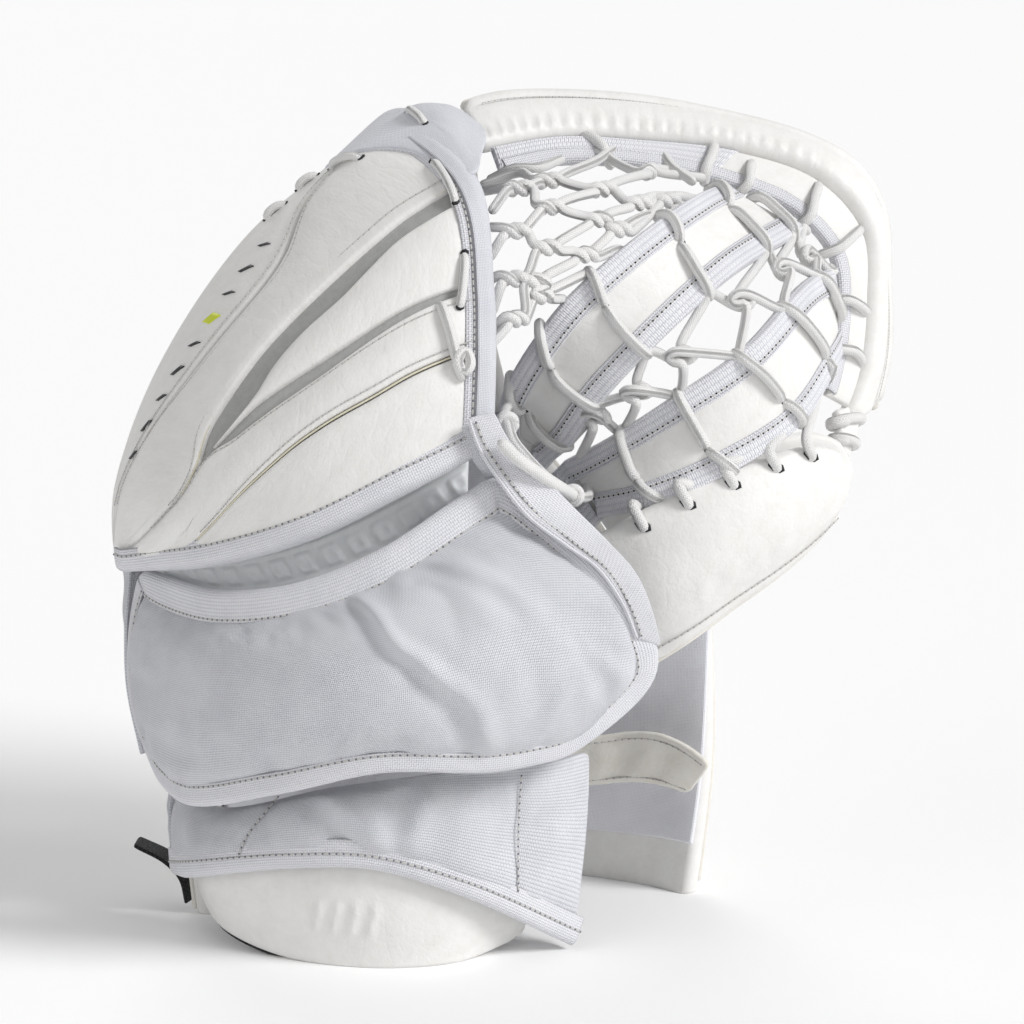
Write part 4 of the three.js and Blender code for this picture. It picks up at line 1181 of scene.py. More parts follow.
def make_wrist_wrap():
    surface = Surface(WRAP, BACK)
    patch = Patch(surface, corners=(0.004, 0.01, 0.004, 0.004))
    crease = folds(patch.size, WRAP_FOLDS)

    def relief(u, v):
        dips = sum(groove((v - at(u)) * patch.size[1], 0.0022, 0.0022) for at in WRAP_SEAMS)
        return crease(u, v) + dips

    shape = slab(patch, -WRAP_THICK, 0, edge=WRAP_EDGE, spacing=WRAP_SPACING, flange=0.003, thin=0.5,
                 crown=0.002, relief=relief)
    wrap = shape.piece("wrist_wrap", "wrap", NYLON, ["wrist_wrap"])
    held = sewn_points(patch, shape, 0.006, WRAP_EDGE, WRAP_SPACING)
    fill_out(wrap, held, pressure=3.0, loose=0.012, cap=0.003)
    border, sewing = Shape(), Shape()
    path, normal = seam(surface, 1.0, (0.0, 1.0), 0, 140)
    across = tape(border, path, normal, surface(0.5, 0.5), -0.0006, -0.0066, outer=0.005, inner=0.0092)
    border.piece("wrist_wrap_binding", "wrap", TAPE, ["wrist_wrap_binding"])
    stitches(sewing, path - across * 0.0022 + normal * 0.0006, normal)
    for at in WRAP_SEAMS:
        stitches(sewing, *crosswise(surface, at, (0.06, 0.9), 0.0009))
    sewing.piece("wrist_wrap_stitches", "wrap", [THREAD, NEEDLE_HOLE_SHADE])


def make_cuff_shell():
    surface = Surface(CUFF_SHELL, BACK)
    patch = Patch(surface, corners=(0.004, 0.012, 0.012, 0.004))

    def emblem(u, v):
        """A plain pressed mark: three slanted ribs."""
        across = np.abs(((v - 0.52) * patch.size[1] + (u - 0.68) * 0.018) / 0.009)
        rib = np.clip((0.26 - np.abs(across % 1 - 0.5)) * 6, 0, 1) * (across < 2)
        return 0.0011 * rib * np.exp(-(((u - 0.68) / 0.1) ** 8))

    shape = slab(patch, -0.006, 0.001, edge=0.003, spacing=0.0018, crown=0.002, relief=emblem)
    keep_above_ground(shape).piece("cuff_shell", "palm", LEATHER, ["cuff_shell"])
    lining = slab(Patch(surface, (0, 0.75)), -0.0095, -0.007, edge=0.001, spacing=0.006)
    keep_above_ground(lining).piece("cuff_shell_lining", "palm", BLACK, ["cuff_shell_lining"])
    trim = Shape()
    path, _ = seam(surface, 1.0, (0.03, 0.6), -0.001, 120)
    path[:, 2] = np.maximum(path[:, 2], 0.0012)
    tube(trim, path, 0.0011, 8)
    trim.piece("cuff_shell_piping", "palm", BLACK)


# ---- Boards and linings of the catching side --------------------------------------------------
BOARD, LINER = 0.011, 0.003


BOARDS = {  # rails, radii of the corners, and where the channels are quilted
    "cuff_board": (CUFF, (0.001, 0.004, 0.006, 0.004), (1 / 3, 2 / 3)),
    "palm_board": (PALM, (0.004, 0.004, 0.004, 0.004), (1 / 3, 2 / 3)),
    "finger_board": (FINGER_BOARD, (0.004, 0.008, 0.006, 0.004), (0.25, 0.5, 0.75)),
}
LININGS = {"cuff_liner": (CUFF, (0.22, 1), (0.07, 1)), "palm_liner": (PALM, (0, 1), (0.12, 0.88))}


def make_boards():
    sewing, piping = Shape(), Shape()
    for name, (rails, corners, channels) in BOARDS.items():
        patch = Patch(Surface(rails, FACE), corners=corners)

        def quilted(u, v, patch=patch, channels=channels):
            return sum(groove((v - at) * patch.size[1], 0.0014, 0.002) for at in channels)

        shape = slab(patch, -BOARD, 0, edge=0.0045, spacing=0.004, crown=0.0015, relief=quilted)
        keep_above_ground(shape).piece(name, "palm", LEATHER, [name])
        path, normal = patch(*patch.border(inset=0.007), 0.0006)
        above = path[:, 2] > 0.004
        stitches(sewing, path[above], normal[above], hole=0)
        path, _ = patch(*patch.border(inset=0.0022))
        tube(piping, path[path[:, 2] > 0.003], 0.0014, 8)
    sewing.piece("board_stitches", "palm", [THREAD, NEEDLE_HOLE_SHADE])
    piping.piece("board_piping", "palm", AGED_LEATHER)
    high = -BOARD - 0.001
    puffs = lambda u, v: 0.0006 * np.sin(u * 14) * np.sin(v * 17)
    # the linings get the paler cloth, painted light for the shade under the thumb
    for name, (rails, u, v) in LININGS.items():
        shape = slab(Patch(Surface(rails, FACE), u, v), high - LINER, high, edge=0.0012, spacing=0.006,
                     relief=puffs)
        keep_above_ground(shape).piece(name, "palm", BRIGHTENED_LINING, [name])


BOARD_GAPS = {  # rows of lacing: the rails below and above each gap, its span of v above, and how many
    "cuff": (CUFF, PALM, (0.06, 0.94), 6),
    "palm": (PALM, FINGER_BOARD, (0.08, 0.92), 6),
}


def make_board_lacing():
    """The boards are laced to each other over a strip of nylon, so that the glove can flex there."""
    for name, (below, above, span, count) in BOARD_GAPS.items():
        lower, upper = Surface(below, FACE), Surface(above, FACE)
        v = np.linspace(0.02, 0.98, 40)
        one, zero = np.ones_like(v), np.zeros_like(v)
        under = lower(one, v)
        v_low = v[[int(np.argmin(np.linalg.norm(under - point, axis=1))) for point in upper(zero, v)]]
        rows = [lower(one * 0.95, v_low) - lower.normal(one, v_low) * 0.006,
                upper(one * 0.03, v) - upper.normal(zero, v) * 0.006]
        patch = Patch(Surface([to_rail(row) for row in rows], FACE))
        strip = slab(patch, -0.001, 0.001, edge=0.0008, spacing=0.005)
        strip.piece(name + "_hinge_strip", "palm", INNER_NYLON)
        laces, holes = Shape(), Shape()
        for at in np.linspace(*span, count):
            low = float(np.interp(at, v, v_low))
            start = on(lower, [(0.9, low, -2), (0.93, low, 3.4)])
            end = on(upper, [(0.1, at, 3.4), (0.13, at, -2)])
            middle = (start[1] + end[0]) / 2 + np.array([0, 0.0012, 0])
            tube(laces, through(np.vstack([start, middle, end]), 8), WRAP_RADIUS)
            for surface, stop in ((lower, (0.905, low, 1.4)), (upper, (0.125, at, 1.4))):
                eyelet(holes, surface, stop, (1, 0), (0.0042, 0.0032, 0.0005))
        laces.piece(name + "_lacing", "palm", LACE)
        holes.piece(name + "_eyelets", "palm", EYELET_HOLE_SHADE)


GUSSETS = {  # nylon between the back of the hand and the boards, on the little finger's side
    "hand_side_gusset": [
        [(-181, -12, 196), (-179, -3, 180), (-182, -2, 150), (-182, -2, 120), (-175, -9, 88)],
        [(-184, 0, 198), (-183, 3, 180), (-181, 4, 150), (-179, 4, 120), (-172, 2, 86)],
        [(-176, 11, 200), (-174, 9, 180), (-170, 9, 150), (-168, 9, 120), (-163, 9, 84)],
    ],
    "wrist_side_gusset": [
        [(-160, 4, 74), (-163, 4, 52), (-162, 2, 30)],
        [(-163, 7, 74), (-163, 8, 52), (-160, 8, 30)],
        [(-156, 11, 74), (-155, 12, 52), (-152, 13, 30)],
    ],
}


def make_side_gussets():
    ripple = lambda u, v: 0.0008 * np.sin(v * 21) * np.sin(u * math.pi)
    for name, rails in GUSSETS.items():
        patch = Patch(Surface(rails, (-1, 0, 0)))
        slab(patch, -0.0012, 0.0008, edge=0.001, spacing=0.003, relief=ripple).piece(name, "palm", NYLON)


# ---- Pocket: rim, crossbar, arms and laced nets -----------------------------------------------
WEB_LEATHER = 0.0045


def web_piece(shape, name, materials, nodes=()):
    """A piece of the web, on no body, with its placement baked into its points."""
    piece = shape.piece(name, None, materials, nodes)
    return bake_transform(piece)


def make_rim():
    patch = Patch(rim, corners=(0.004, 0.006, 0.01, 0.004))

    def relief(u, v):
        along_rim = v * patch.size[1]
        puckers = np.sin(along_rim / 0.0074 * 2 * math.pi + 2 * np.sin(along_rim / 0.02))
        pucker = 0.0016 * puckers * np.exp(-(((u - 0.14) / 0.15) ** 2)) / (1 + np.exp((v - 0.55) * 40))
        lip = 0.0022 / (1 + np.exp(-(u - 0.83) * 60))
        return pucker + lip + groove((u - 0.8) * patch.size[0], 0.0026, 0.0014)

    shape = slab(patch, -0.0045, 0.0045, edge=0.004, spacing=0.0024, crown=0.0032, relief=relief)
    band = web_piece(shape, "pocket_rim", LEATHER, ["pocket_rim", "pocket_rim_bend", "pocket_rim_thumb_end"])
    piping, sewing = Shape(), Shape()
    v = np.linspace(0.01, 0.99, 240)
    out = rim.normal(np.ones_like(v), v)
    across = unit(rim(np.ones_like(v), v) - rim(np.full_like(v, 0.9), v))
    tube(piping, rim(np.ones_like(v), v) - across * 0.0014 + out * 0.0012, 0.0032, 10)
    web_piece(piping, "pocket_rim_lip", AGED_LEATHER)
    stitches(sewing, *seam(rim, 0.76, (0.03, 0.97), 0.006, 300), radius=0.0003, hole=0.0004)
    web_piece(sewing, "pocket_rim_stitches", [THREAD, NEEDLE_PRICK_SHADE])


def make_crossbar():
    half = WEB_LEATHER / 2
    strap = slab(Patch(cross, (0.0, 0.95), (0.02, 0.44)), -half, half + 0.0006, edge=0.0022, spacing=0.004,
                 crown=0.0008)
    slab(Patch(cross, (0.02, 0.93), (0.43, 0.97)), -half, half, edge=0.0022, spacing=0.004, crown=0.001,
         shape=strap, slot=1)
    web_piece(strap, "web_crossbar", [RIBBED_TAPE, LEATHER], ["web_crossbar", "web_crossbar_bend"])
    edging = Shape()
    tape(edging, *seam(cross, 0.0, (0.03, 0.96), 0, 200), cross(0.6, 0.5), half + 0.0004, -half - 0.0004,
         outer=0.0026, inner=0.0045)
    web_piece(edging, "web_crossbar_binding", TAPE)


ARM_V = (0.0, 0.985)
ARM_TAPE = {"outer": 0.0022, "inner": 0.0092}
ARMS = {  # each arm's surface and the (u, v) of the holes that its laces go into
    "web_arm_left": (arm_left, [(0.3, 0.1), (0.31, 0.23), (0.32, 0.41), (0.34, 0.64), (0.3, 0.86)]),
    "web_arm_right": (arm_right, [(0.64, 0.16), (0.66, 0.35), (0.68, 0.58), (0.8, 0.79)]),
}


def make_arms():
    half = WEB_LEATHER / 2
    for name, (surface, holes) in ARMS.items():
        patch = Patch(surface, (0.06, 0.94), ARM_V)
        core = slab(patch, -half, half, edge=0.0018, spacing=0.003, crown=0.0012)
        web_piece(core, name, LEATHER, [name])
        edging, sewing = Shape(), Shape()
        for side in (0.0, 1.0):
            path, normal = seam(surface, side, ARM_V, 0, 150)
            across = tape(edging, path, normal, surface(0.5, 0.5), half + 0.0006, -half - 0.0006, **ARM_TAPE)
            row = path - across * 0.0075 + normal * (half + 0.0016)
            stitches(sewing, row, normal, pitch=0.003, radius=0.00035)
            tube(edging, path - across * 0.0095 + normal * (half + 0.0010), 0.0007, 6)
        web_piece(edging, name + "_binding", RIBBED_TAPE)
        for hole in holes:
            eyelet(sewing, surface, (*hole, half / MM + 1.0), (1, 0), (0.0024, 0.0018, 0.0004), 1)
        web_piece(sewing, name + "_stitches", [THREAD, EYELET_HOLE_SHADE])


ARM_ROOTS = {  # how the arms go on behind the hand band to the palm, as their two edges
    "web_arm_left_root": [
        [(-8, 24, 236), (-3, 20, 242), (2, 16, 248)],
        [(14, 26, 216), (20, 21, 224), (26, 16, 232)],
    ],
    "web_arm_right_root": [
        [(20, 24, 212), (27, 20, 220), (34, 16, 228)],
        [(36, 11, 188), (42, 6, 197), (49, 0, 206)],
    ],
}


def make_arm_roots():
    for name, rails in ARM_ROOTS.items():
        surface = Surface(rails, (0.2, -1, 0.6))
        root = slab(Patch(surface, (0.06, 0.94)), -0.002, 0.002, edge=0.0012, spacing=0.004)
        for side in (0.0, 1.0):
            path, normal = seam(surface, side, (0, 1), 0, 12)
            tape(root, path, normal, surface(0.5, 0.5), 0.0028, -0.0028, **ARM_TAPE, slot=1)
        web_piece(root, name, [LEATHER, RIBBED_TAPE])


TWIST_HALF, TWIST_RADIUS = 0.0064, 0.0021
TWISTS = {  # where pairs of laces twist together, as (u, v) of the finger-side net
    1: (0.05, 0.75), 2: (0.24, 0.78), 3: (0.56, 0.74), 4: (0.26, 0.65), 5: (0.81, 0.7), 6: (0.63, 0.61),
    7: (0.02, 0.59), 8: (0.32, 0.52), 9: (0.83, 0.58), 10: (0.71, 0.48), 11: (0.07, 0.45), 12: (0.31, 0.41),
    13: (0.76, 0.92), 14: (0.95, 0.74), 15: (0.22, 0.25), 16: (0.52, 0.33),
}
FINGER_SIDE_LACES = [  # each lace: places (u, v, height) and the upper (u) or lower (d) lane of a twist
    [(-0.17, 0.83, -5), "1u", "2d", "3u", "13d", (1.0, 0.97, 0)],
    [(-0.17, 0.93, -5), (0.1, 0.87, 0), "2u", (0.5, 0.93, 2), (0.56, 1.02, 5), (0.6, 1.1, 2)],
    [(-0.17, 0.7, -5), "1d", "4u", "3d", "5u", (0.98, 0.8, -2)],
    [(-0.17, 0.63, -5), "7u", "4d", "6u", "5d", "14u", (1.05, 0.82, -3)],
    [(-0.17, 0.55, -5), "7d", "8u", "6d", "9u", (0.96, 0.67, -1), (1.04, 0.66, -3)],
    [(-0.17, 0.49, -6), "11u", "8d", "10u", "9d", "14d", (1.04, 0.7, -3)],
    [(-0.17, 0.4, -6), "11d", "12u", "10d", (0.98, 0.5, -2), (1.05, 0.5, -4)],
    [(-0.17, 0.3, -5), "15u", "12d", "16u", (0.99, 0.4, -3)],
    [(-0.17, 0.18, -5), "15d", "16d", (1.0, 0.3, -3)],
    [(0.42, 1.08, 2), (0.5, 1.0, 4.5), (0.6, 0.95, 1), "13u", (0.95, 1.0, -1)],
    [(0.72, 1.1, 2), (0.78, 1.03, 5), (0.86, 0.97, 2), (0.97, 0.93, -1)],
    [(-0.1, 1.0, -3), (0.08, 0.93, 0.5), (0.2, 0.9, 0), (0.3, 0.98, 0), (0.4, 1.05, 3)],
]


def net_frame(net, u, v):
    """A place of a net, with the directions out of it, along it to the thumb's side, and up it."""
    centre, normal = net(u, v), net.normal(u, v)
    ahead = unit(np.cross(normal, (0, 0, 1.0)))
    ahead = ahead if ahead[0] > 0 else -ahead
    rise = unit(np.cross(ahead, normal))
    return centre, normal, ahead, rise if rise[2] > 0 else -rise


def twist_path(key):
    """The five points of one lace of a twisted pair, a full turn round its partner."""
    centre, normal, ahead, rise = net_frame(net_fingers, *TWISTS[int(key[:-1])])
    start = 0.0 if key.endswith("u") else math.pi
    points = []
    for share in (-1, -0.5, 0, 0.5, 1):
        angle = start + math.pi * (share + 1)
        offset = (rise * math.cos(angle) + normal * math.sin(angle)) * TWIST_RADIUS
        points.append(centre + ahead * share * TWIST_HALF + offset)
    return points


def make_finger_side_net():
    shape = Shape()
    for stops in FINGER_SIDE_LACES:
        points = [twist_path(stop) if isinstance(stop, str) else on(net_fingers, [stop]) for stop in stops]
        tube(shape, through(np.vstack(points), 10), NET_RADIUS)
    web_piece(shape, "net_finger_side", LACE, ["net_finger_side"])


# The knots of the middle net, as (u, v), and one side of the clasp that each lace makes there.
KNOTS = [(0.16, 0.07), (0.43, 0.2), (0.45, 0.35), (0.41, 0.58), (0.49, 0.78), (0.52, 0.96)]
ENDS_LEFT = [0.07, 0.21, 0.37, 0.56, 0.79, 0.93, 0.985]  # along the left arm's inner edge
ENDS_RIGHT = [0.04, 0.18, 0.34, 0.5, 0.67, 0.86, 0.985]  # along the right arm's inner edge
CLASP = [(-2.2, 2.2, -2.2), (3.6, 2.4, -2.4), (6.2, 0.6, 0), (3.6, 0.8, 2.6), (0.2, 2.6, 3.4)]


def make_middle_net():
    """Two laces zigzag from arm to arm, and each bight of one hooks through a bight of the other."""
    shape = Shape()
    for arm, side, ends, sign in ((arm_left, 1.0, ENDS_LEFT, 1), (arm_right, 0.0, ENDS_RIGHT, -1)):
        past, over = side + 0.06 * sign, side + 0.012 * sign
        points = list(on(arm, [(side, ends[0], 1.0)]))
        for knot, after in zip(KNOTS, ends[1:]):
            centre, normal, ahead, rise = net_frame(net_middle, *knot)
            hook = [centre + (ahead * x - normal * y + rise * z) * MM * sign for x, y, z in CLASP]
            points += hook[::sign]
            bight = [(past, after - 0.012, 0.5), (over, after, 2.6), (past, after + 0.012, 0.5)]
            points += list(on(arm, bight))
        tube(shape, through(np.array(points), 8), NET_RADIUS)
    web_piece(shape, "net_middle", LACE, ["net_middle"])


OVER = 6.2  # height in millimetres of a lace over an arm
LEFT_WRAPS = [
    [(-0.1, 0.3, -1), (-0.02, 0.285, 4.7), (0.1, 0.265, OVER), (0.24, 0.24, 4.8), (0.31, 0.232, 0)],
    [(0.32, 0.226, 0), (0.4, 0.222, 4.8), (0.6, 0.215, OVER), (0.97, 0.21, 5.2), (1.06, 0.21, 0.5)],
    [(-0.1, 0.46, -1), (-0.02, 0.45, 4.7), (0.1, 0.435, OVER), (0.24, 0.418, 4.8), (0.31, 0.412, 0)],
    [(0.33, 0.408, 0), (0.42, 0.4, 4.8), (0.65, 0.385, OVER), (0.97, 0.372, 5.2), (1.06, 0.37, 0.5)],
    [(-0.1, 0.69, -1), (-0.02, 0.682, 4.7), (0.1, 0.67, OVER), (0.26, 0.65, 4.8), (0.33, 0.642, 0)],
    [(0.35, 0.636, 0), (0.44, 0.62, 4.8), (0.7, 0.59, OVER), (0.97, 0.565, 5.2), (1.06, 0.56, 0.5)],
    [(-0.1, 0.935, -1), (-0.02, 0.925, 4.7), (0.1, 0.9, OVER), (0.24, 0.87, 4.8), (0.29, 0.862, 0)],
    [(0.31, 0.856, 0), (0.42, 0.84, 4.8), (0.7, 0.815, OVER), (0.97, 0.795, 5.2), (1.06, 0.79, 0.5)],
    [(-0.06, 0.15, -1), (0.05, 0.12, 5.2), (0.2, 0.1, 5.2), (0.3, 0.1, 0)],
    [(0.32, 0.1, 0), (0.5, 0.09, 5.8), (0.9, 0.075, 5.8), (1.05, 0.07, 0.5)],
    [(0.3, 1.0, 1), (0.4, 0.99, 5.7), (0.7, 0.965, OVER), (0.97, 0.94, 5.2), (1.06, 0.935, 0.5)],
]
RIGHT_WRAPS = [
    [(-0.06, 0.18, 0.5), (0.03, 0.178, 5.2), (0.3, 0.17, OVER), (0.56, 0.162, 4.8), (0.63, 0.16, 0)],
    [(0.66, 0.16, 0), (0.74, 0.165, 4.8), (0.9, 0.18, OVER), (1.04, 0.2, 1)],
    [(-0.06, 0.34, 0.5), (0.03, 0.342, 5.2), (0.3, 0.346, OVER), (0.58, 0.35, 4.8), (0.65, 0.35, 0)],
    [(0.68, 0.352, 0), (0.76, 0.36, 4.8), (0.92, 0.378, OVER), (1.05, 0.395, 1)],
    [(-0.06, 0.5, 0.5), (0.03, 0.508, 5.2), (0.3, 0.54, OVER), (0.6, 0.57, 4.8), (0.67, 0.578, 0)],
    [(0.7, 0.582, 0), (0.78, 0.595, 4.8), (0.93, 0.612, OVER), (1.05, 0.625, 1)],
    [(-0.06, 0.67, 0.5), (0.03, 0.68, 5.2), (0.3, 0.72, OVER), (0.7, 0.775, 4.8), (0.79, 0.787, 0)],
    [(0.82, 0.79, 0), (0.9, 0.795, 5.4), (1.04, 0.8, 1)],
    [(-0.06, 0.86, 0.5), (0.03, 0.868, 5.2), (0.3, 0.92, OVER), (0.55, 0.98, 4.8), (0.62, 1.0, 0)],
]
BAR_WRAPS = [
    [(-0.25, 0.63, 0), (0.0, 0.625, 5.2), (0.4, 0.6, 5.7), (0.75, 0.585, 3), (0.85, 0.58, -1)],
    [(-0.3, 0.7, 0), (0.0, 0.7, 5.2), (0.4, 0.69, 5.7), (0.8, 0.68, 3), (0.9, 0.68, -1)],
    [(-0.3, 0.79, 0), (0.0, 0.79, 5.2), (0.4, 0.8, 5.7), (0.8, 0.81, 3), (0.9, 0.81, -1)],
    [(-0.3, 0.88, 0), (0.0, 0.88, 5.2), (0.4, 0.88, 5.7), (0.8, 0.89, 3), (0.9, 0.9, -1)],
    [(-0.25, 0.5, 0), (0.0, 0.5, 5.2), (0.3, 0.485, 5.7), (0.6, 0.475, 3), (0.7, 0.47, -1)],
    [(-0.2, 0.25, 0), (0.0, 0.235, 5.2), (0.5, 0.215, 5.2), (0.9, 0.195, 3), (1.0, 0.19, 0)],
    [(-0.2, 0.43, 0), (0.0, 0.42, 5.2), (0.5, 0.41, 5.2), (0.9, 0.4, 3), (1.0, 0.39, 0)],
]


def make_arm_wraps():
    """Laces over the arms and the bar: from an edge into a hole, and out again to the other edge."""
    shape = Shape()
    for surface, laces in ((arm_left, LEFT_WRAPS), (arm_right, RIGHT_WRAPS), (cross, BAR_WRAPS)):
        for stops in laces:
            lace(shape, surface, stops)
    web_piece(shape, "web_lacing", LACE)


RIM_LINK = [
    [(166, 60, 246), (167, 55, 238), (167, 50, 228)],
    [(180, 80, 246), (178, 68, 236), (172, 54, 222)],
]


def make_rim_link():
    """A leather tongue from the rim's end to the tip of the thumb, with two laces round it."""
    surface = Surface(RIM_LINK, (0.6, -0.6, 0.5))
    patch = Patch(surface, corners=(0.003,) * 4)
    tongue = slab(patch, -0.0025, 0.0025, edge=0.002, spacing=0.003, crown=0.001)
    tongue.piece("rim_link", "thumb", LEATHER)
    laces = Shape()
    for v in (0.3, 0.72):
        turn = np.linspace(-0.3, 2.3, 14) * math.pi
        u, high = 0.5 - 0.62 * np.cos(turn), 5.4 * np.sin(turn)
        stops = np.stack([u, v + 0.03 * turn / math.pi, high], -1)
        tube(laces, through(on(surface, stops), 6), WRAP_RADIUS)
    laces.piece("rim_link_laces", "thumb", LACE)


# ---- Thumb ------------------------------------------------------------------------------------
EYELET_U, EYELETS = 0.1, [0.22, 0.38, 0.54, 0.7, 0.84]
THUMB_CORNERS = (0.012, 0.016, 0.006)


def make_thumb():
    patch = Patch(thumb, corners=(0.003, *THUMB_CORNERS))

    def pressed(u, v):
        """A groove along the lower edge, and plain slanted ribs over it."""
        lower = groove((u - 0.86) * patch.size[0], 0.0012, 0.0014)
        waves = np.clip(np.sin((v * 9 + u * 2.0) * 2 * math.pi) * 2.5, 0, 1)
        ribs = waves * np.exp(-(((u - 0.68) / 0.07) ** 6))
        return lower + 0.0006 * ribs * (v > 0.3) * (v < 0.72)

    shell = slab(patch, -0.007, 0, edge=0.0035, spacing=0.0026, crown=0.002, relief=pressed)
    shell.piece("thumb_shell", "thumb", LEATHER, ["thumb_shell"])
    board = slab(Patch(Surface(THUMB_BOARD, FACE), corners=(0.004, *THUMB_CORNERS)), -0.008, 0, edge=0.0035,
                 spacing=0.004, crown=0.0015)
    board.piece("thumb_board", "thumb", LEATHER, ["thumb_board"])
    sewing, piping, eyelets = Shape(), Shape(), Shape()
    stitches(sewing, *seam(thumb, 0.9, (0.06, 0.95), 0.0012))
    path, _ = seam(thumb, 1.0, (0.02, 0.98), -0.0028)
    tube(piping, path, 0.0016, 8)
    sewing.piece("thumb_stitches", "thumb", [THREAD, NEEDLE_PRICK_SHADE])
    piping.piece("thumb_piping", "thumb", AGED_LEATHER)
    for v in EYELETS:
        eyelet(eyelets, thumb, (EYELET_U, v, 1.4), (1, 0.4), (0.0046, 0.0027, 0.0008))
    eyelets.piece("thumb_eyelets", "thumb", EYELET_HOLE_SHADE)


def make_thumb_lacing():
    """Short laces from under the right arm's edge into the thumb's eyelets, each a piece of its own."""
    for k, v in enumerate(EYELETS):
        top = on(arm_right, [(0.98, 0.12 + 0.17 * k, -3.0)])[0]
        over = on(thumb, [(-0.05, v - 0.01, 3.5)])[0]
        inside = on(thumb, [(EYELET_U, v, 1.5), (EYELET_U + 0.03, v, -3)])
        middle = (top + over) / 2 + np.array([0, -0.002, 0])
        shape = Shape()
        tube(shape, through(np.vstack([top, middle, over, inside]), 8), WRAP_RADIUS)
        piece = shape.piece(f"thumb_lace_{k + 1}", None, LACE, [] if k else ["thumb_lacing"])
        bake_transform(piece)


# ---- Inner glove, strap, tab and loose laces --------------------------------------------------
STALL_RADIUS, STALL_TIP, STALL_CLOTH, STALL_SIDES = 0.0125, 0.012, 0.0018, 24
STALL_RINGS, TIP_RINGS = 14, 6


def make_stalls():
    """The inner glove's fingers: tubes of soft cloth, open at the base, each closed by a round tip."""
    turn = np.linspace(0.2, 1.4, TIP_RINGS)
    widths = np.r_[np.ones(STALL_RINGS), np.cos(turn)] * STALL_RADIUS
    widths[:STALL_RINGS] += 0.0005 * np.sin(np.arange(STALL_RINGS) * 1.9)
    narrow = np.maximum(widths - STALL_CLOTH, 0.0006)
    angle = np.linspace(0, 2 * math.pi, STALL_SIDES, endpoint=False)
    for name, (base, direction, length) in STALLS.items():
        axis = unit(direction)
        side = unit(np.cross(axis, (0, 1, 0)))
        circle = np.cos(angle)[:, None] * side + np.sin(angle)[:, None] * np.cross(axis, side)
        body_end = length * MM - STALL_TIP
        heights = np.r_[np.linspace(0, body_end, STALL_RINGS), body_end + STALL_TIP * np.sin(turn)]

        def rings_at(heights, widths, axis=axis, circle=circle, base=base):
            return place(base) + axis * heights[:, None, None] + circle[None] * widths[:, None, None]

        inner = rings_at(np.minimum(heights, length * MM - 0.003), narrow)
        rings = np.concatenate([inner[::-1], rings_at(heights, widths)])
        up = travelled(rings[:, 0])[:, None]
        places = np.stack(np.broadcast_arrays((angle * STALL_RADIUS)[None], up), -1)
        faces = grid_faces(len(rings), STALL_SIDES, wrap=True)
        faces += [face[::-1] for face in caps(len(rings), STALL_SIDES)]
        near, far = rings[-4], rings[-3]
        if np.cross(near[1] - near[0], far[0] - near[0]) @ (near[0] - near.mean(0)) > 0:
            faces = [face[::-1] for face in faces]
        body = "thumb" if name == "thumb_stall" else "palm"
        Shape().add(rings, faces, places).piece(name, body, INNER_NYLON, [name])


def make_strap_and_tab():
    surface = Surface(WRIST_STRAP, (0.3, -1, 0.2))
    patch = Patch(surface, corners=(0.002, 0.002, 0.005, 0.004))
    ripple = lambda u, v: 0.0006 * np.sin(v * 23) * np.sin(u * 3)
    strap = slab(patch, 0, 0.003, edge=0.0014, spacing=0.003, relief=ripple)
    strap.piece("wrist_strap", "strap", AGED_LEATHER, ["wrist_strap"])
    sewing = Shape()
    for u in (0.12, 0.88):
        stitches(sewing, *seam(surface, u, (0.05, 0.96), 0.0031))
    sewing.piece("wrist_strap_stitches", "strap", [THREAD, NEEDLE_PRICK_SHADE])
    patch = Patch(Surface(PULL_TAB, (-1, 0, -0.6)), corners=(0, 0, 0.002, 0.002))
    tab = slab(patch, 0.0008, 0.0028, edge=0.0008, spacing=0.002)
    keep_above_ground(tab).piece("pull_tab", "tab", BLACK, ["pull_tab"])


TAIL_RADIUS = 0.0029


def make_lace_tails():
    for name, route in LACE_TAILS.items():
        path = through(place(route), 8)
        shape = Shape()
        tube(shape, path, TAIL_RADIUS, 12)
        piece = shape.piece(name, "palm", LACE, [name])


TAIL_KNOTS = {  # where the loose ends come from: each lead, from its knot back to the web's arms
    "lace_tail_upper": [(34, -66, 229), (36, -50, 225), (40, -28, 220), (43, -8, 217), (42, 6, 218)],
    "lace_tail_lower": [(4, -68, 263), (3, -52, 264), (3, -28, 262), (4, -8, 260), (5, 2, 262)],
}


def make_tail_knots():
    """Each lead, with a loop and three quarters wound round its end."""
    shape = Shape()
    turn = np.linspace(0, 3.4, 22)[:, None] * math.pi
    for lead in TAIL_KNOTS.values():
        path = through(place(lead), 8)
        tube(shape, path, NET_RADIUS)
        ahead = unit(path[2] - path[0])
        side = unit(np.cross(ahead, (0.2, 0.3, 1)))
        round_lead = np.cos(turn) * side + np.sin(turn) * np.cross(ahead, side)
        tube(shape, path[0] + (round_lead * 3.6 + ahead * turn * 0.45) * MM, THIN_RADIUS)
    shape.piece("lace_tail_knots", "palm", LACE)


EDGE_LACES = [  # lace stitches through eyelets on the fingers' right edge, as (u, v) of their ends
    ((0.1, 0.845), (0.19, 0.89)), ((0.315, 0.972), (0.42, 0.955)), ((0.515, 0.95), (0.645, 0.935)),
    ((0.03, 0.7), (0.05, 0.74)), ((0.02, 0.78), (0.04, 0.82)),
]


EDGE_KNOT = [
    (0.62, 0.895, 5), (0.66, 0.9, 7.2), (0.74, 0.91, 7.6), (0.82, 0.925, 7.6), (0.845, 0.94, 8.6),
    (0.83, 0.95, 9.2), (0.8, 0.94, 8.6), (0.815, 0.922, 9.4), (0.85, 0.935, 7),
]


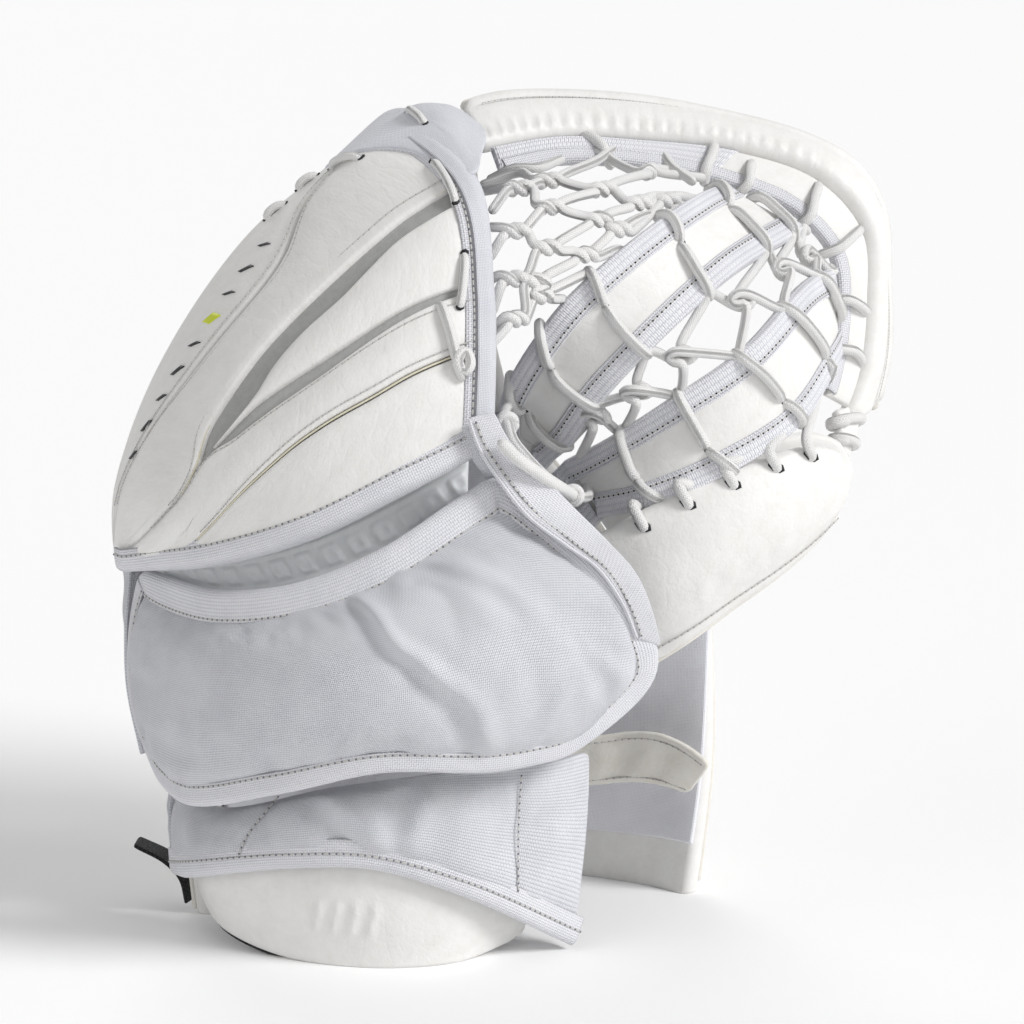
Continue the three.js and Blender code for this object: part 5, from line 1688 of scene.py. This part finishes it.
def make_edge_laces():
    shape, holes = Shape(), Shape()
    share = np.array([0, 0.12, 0.5, 0.88, 1])
    high = np.array([PANEL / MM - 1, 7.0, 8.0, 7.0, PANEL / MM - 1])
    for (u0, v0), (u1, v1) in EDGE_LACES:
        stops = np.stack([u0 + (u1 - u0) * share, v0 + (v1 - v0) * share, high], -1)
        lace(shape, finger, stops, THIN_RADIUS)
        for u, v in ((u0, v0), (u1, v1)):
            eyelet(holes, finger, (u, v, PANEL / MM + 1.2), (0, 1), (0.0022, 0.0018, 0.0005))
    lace(shape, finger, EDGE_KNOT, 0.0026)
    shape.piece("edge_lacing", "palm", LACE)
    holes.piece("edge_eyelets", "palm", EYELET_HOLE_SHADE)


# ---- Stage ------------------------------------------------------------------------------------
def sun(name, towards, strength, softness):
    """Even light from one side: `towards` points from the glove to the light."""
    data = bpy.data.lights.new(name, "SUN")
    data.energy, data.angle = strength, math.radians(softness)
    light = bpy.data.objects.new(name, data)
    light.rotation_euler = Vector(towards).to_track_quat("Z", "Y").to_euler()
    bpy.context.scene.collection.objects.link(light)


SUNS = [  # name, direction of the light from the glove, strength, and softness in degrees
    ("key", (1.6, -0.7, 1.35), 2.3, 20),
    ("front", (1.1, -1.3, 0.15), 0.3, 60),
    ("fill", (-1.3, -0.9, 0.7), 0.32, 40),
    ("back", (-0.3, 1.3, 0.8), 0.6, 40),
]


def make_stage():
    bpy.ops.mesh.primitive_plane_add(size=60, location=(0, 0, 0))
    floor = bpy.context.object
    floor.name = "floor"
    paper = Look("pale_floor")
    paper.shader.inputs["Base Color"].default_value = (0.98, 0.98, 0.98, 1)
    paper.shader.inputs["Roughness"].default_value = 0.9
    floor.data.materials.append(paper.material)
    world = bpy.data.worlds.new("studio")
    world.use_nodes = True
    background = world.node_tree.nodes["Background"].inputs
    background["Color"].default_value = (1, 1, 1, 1)
    background["Strength"].default_value = 0.38
    bpy.context.scene.world = world
    for light in SUNS:
        sun(*light)
    bpy.context.scene.view_settings.view_transform = "Standard"


for make in (
    make_camera, make_lace_tails, make_finger_shell, make_finger_bindings, make_marks, make_fingertip,
    make_hand_band, make_knuckle_guard, make_backhand_pad, make_corner_band, make_wrist_wrap,
    make_cuff_shell, make_boards, make_board_lacing, make_side_gussets, make_rim, make_crossbar,
    make_arms, make_arm_roots, make_finger_side_net, make_middle_net, make_arm_wraps, make_rim_link,
    make_thumb, make_thumb_lacing, make_stalls, make_strap_and_tab, make_edge_laces, make_tail_knots,
    make_stage,
):
    make()
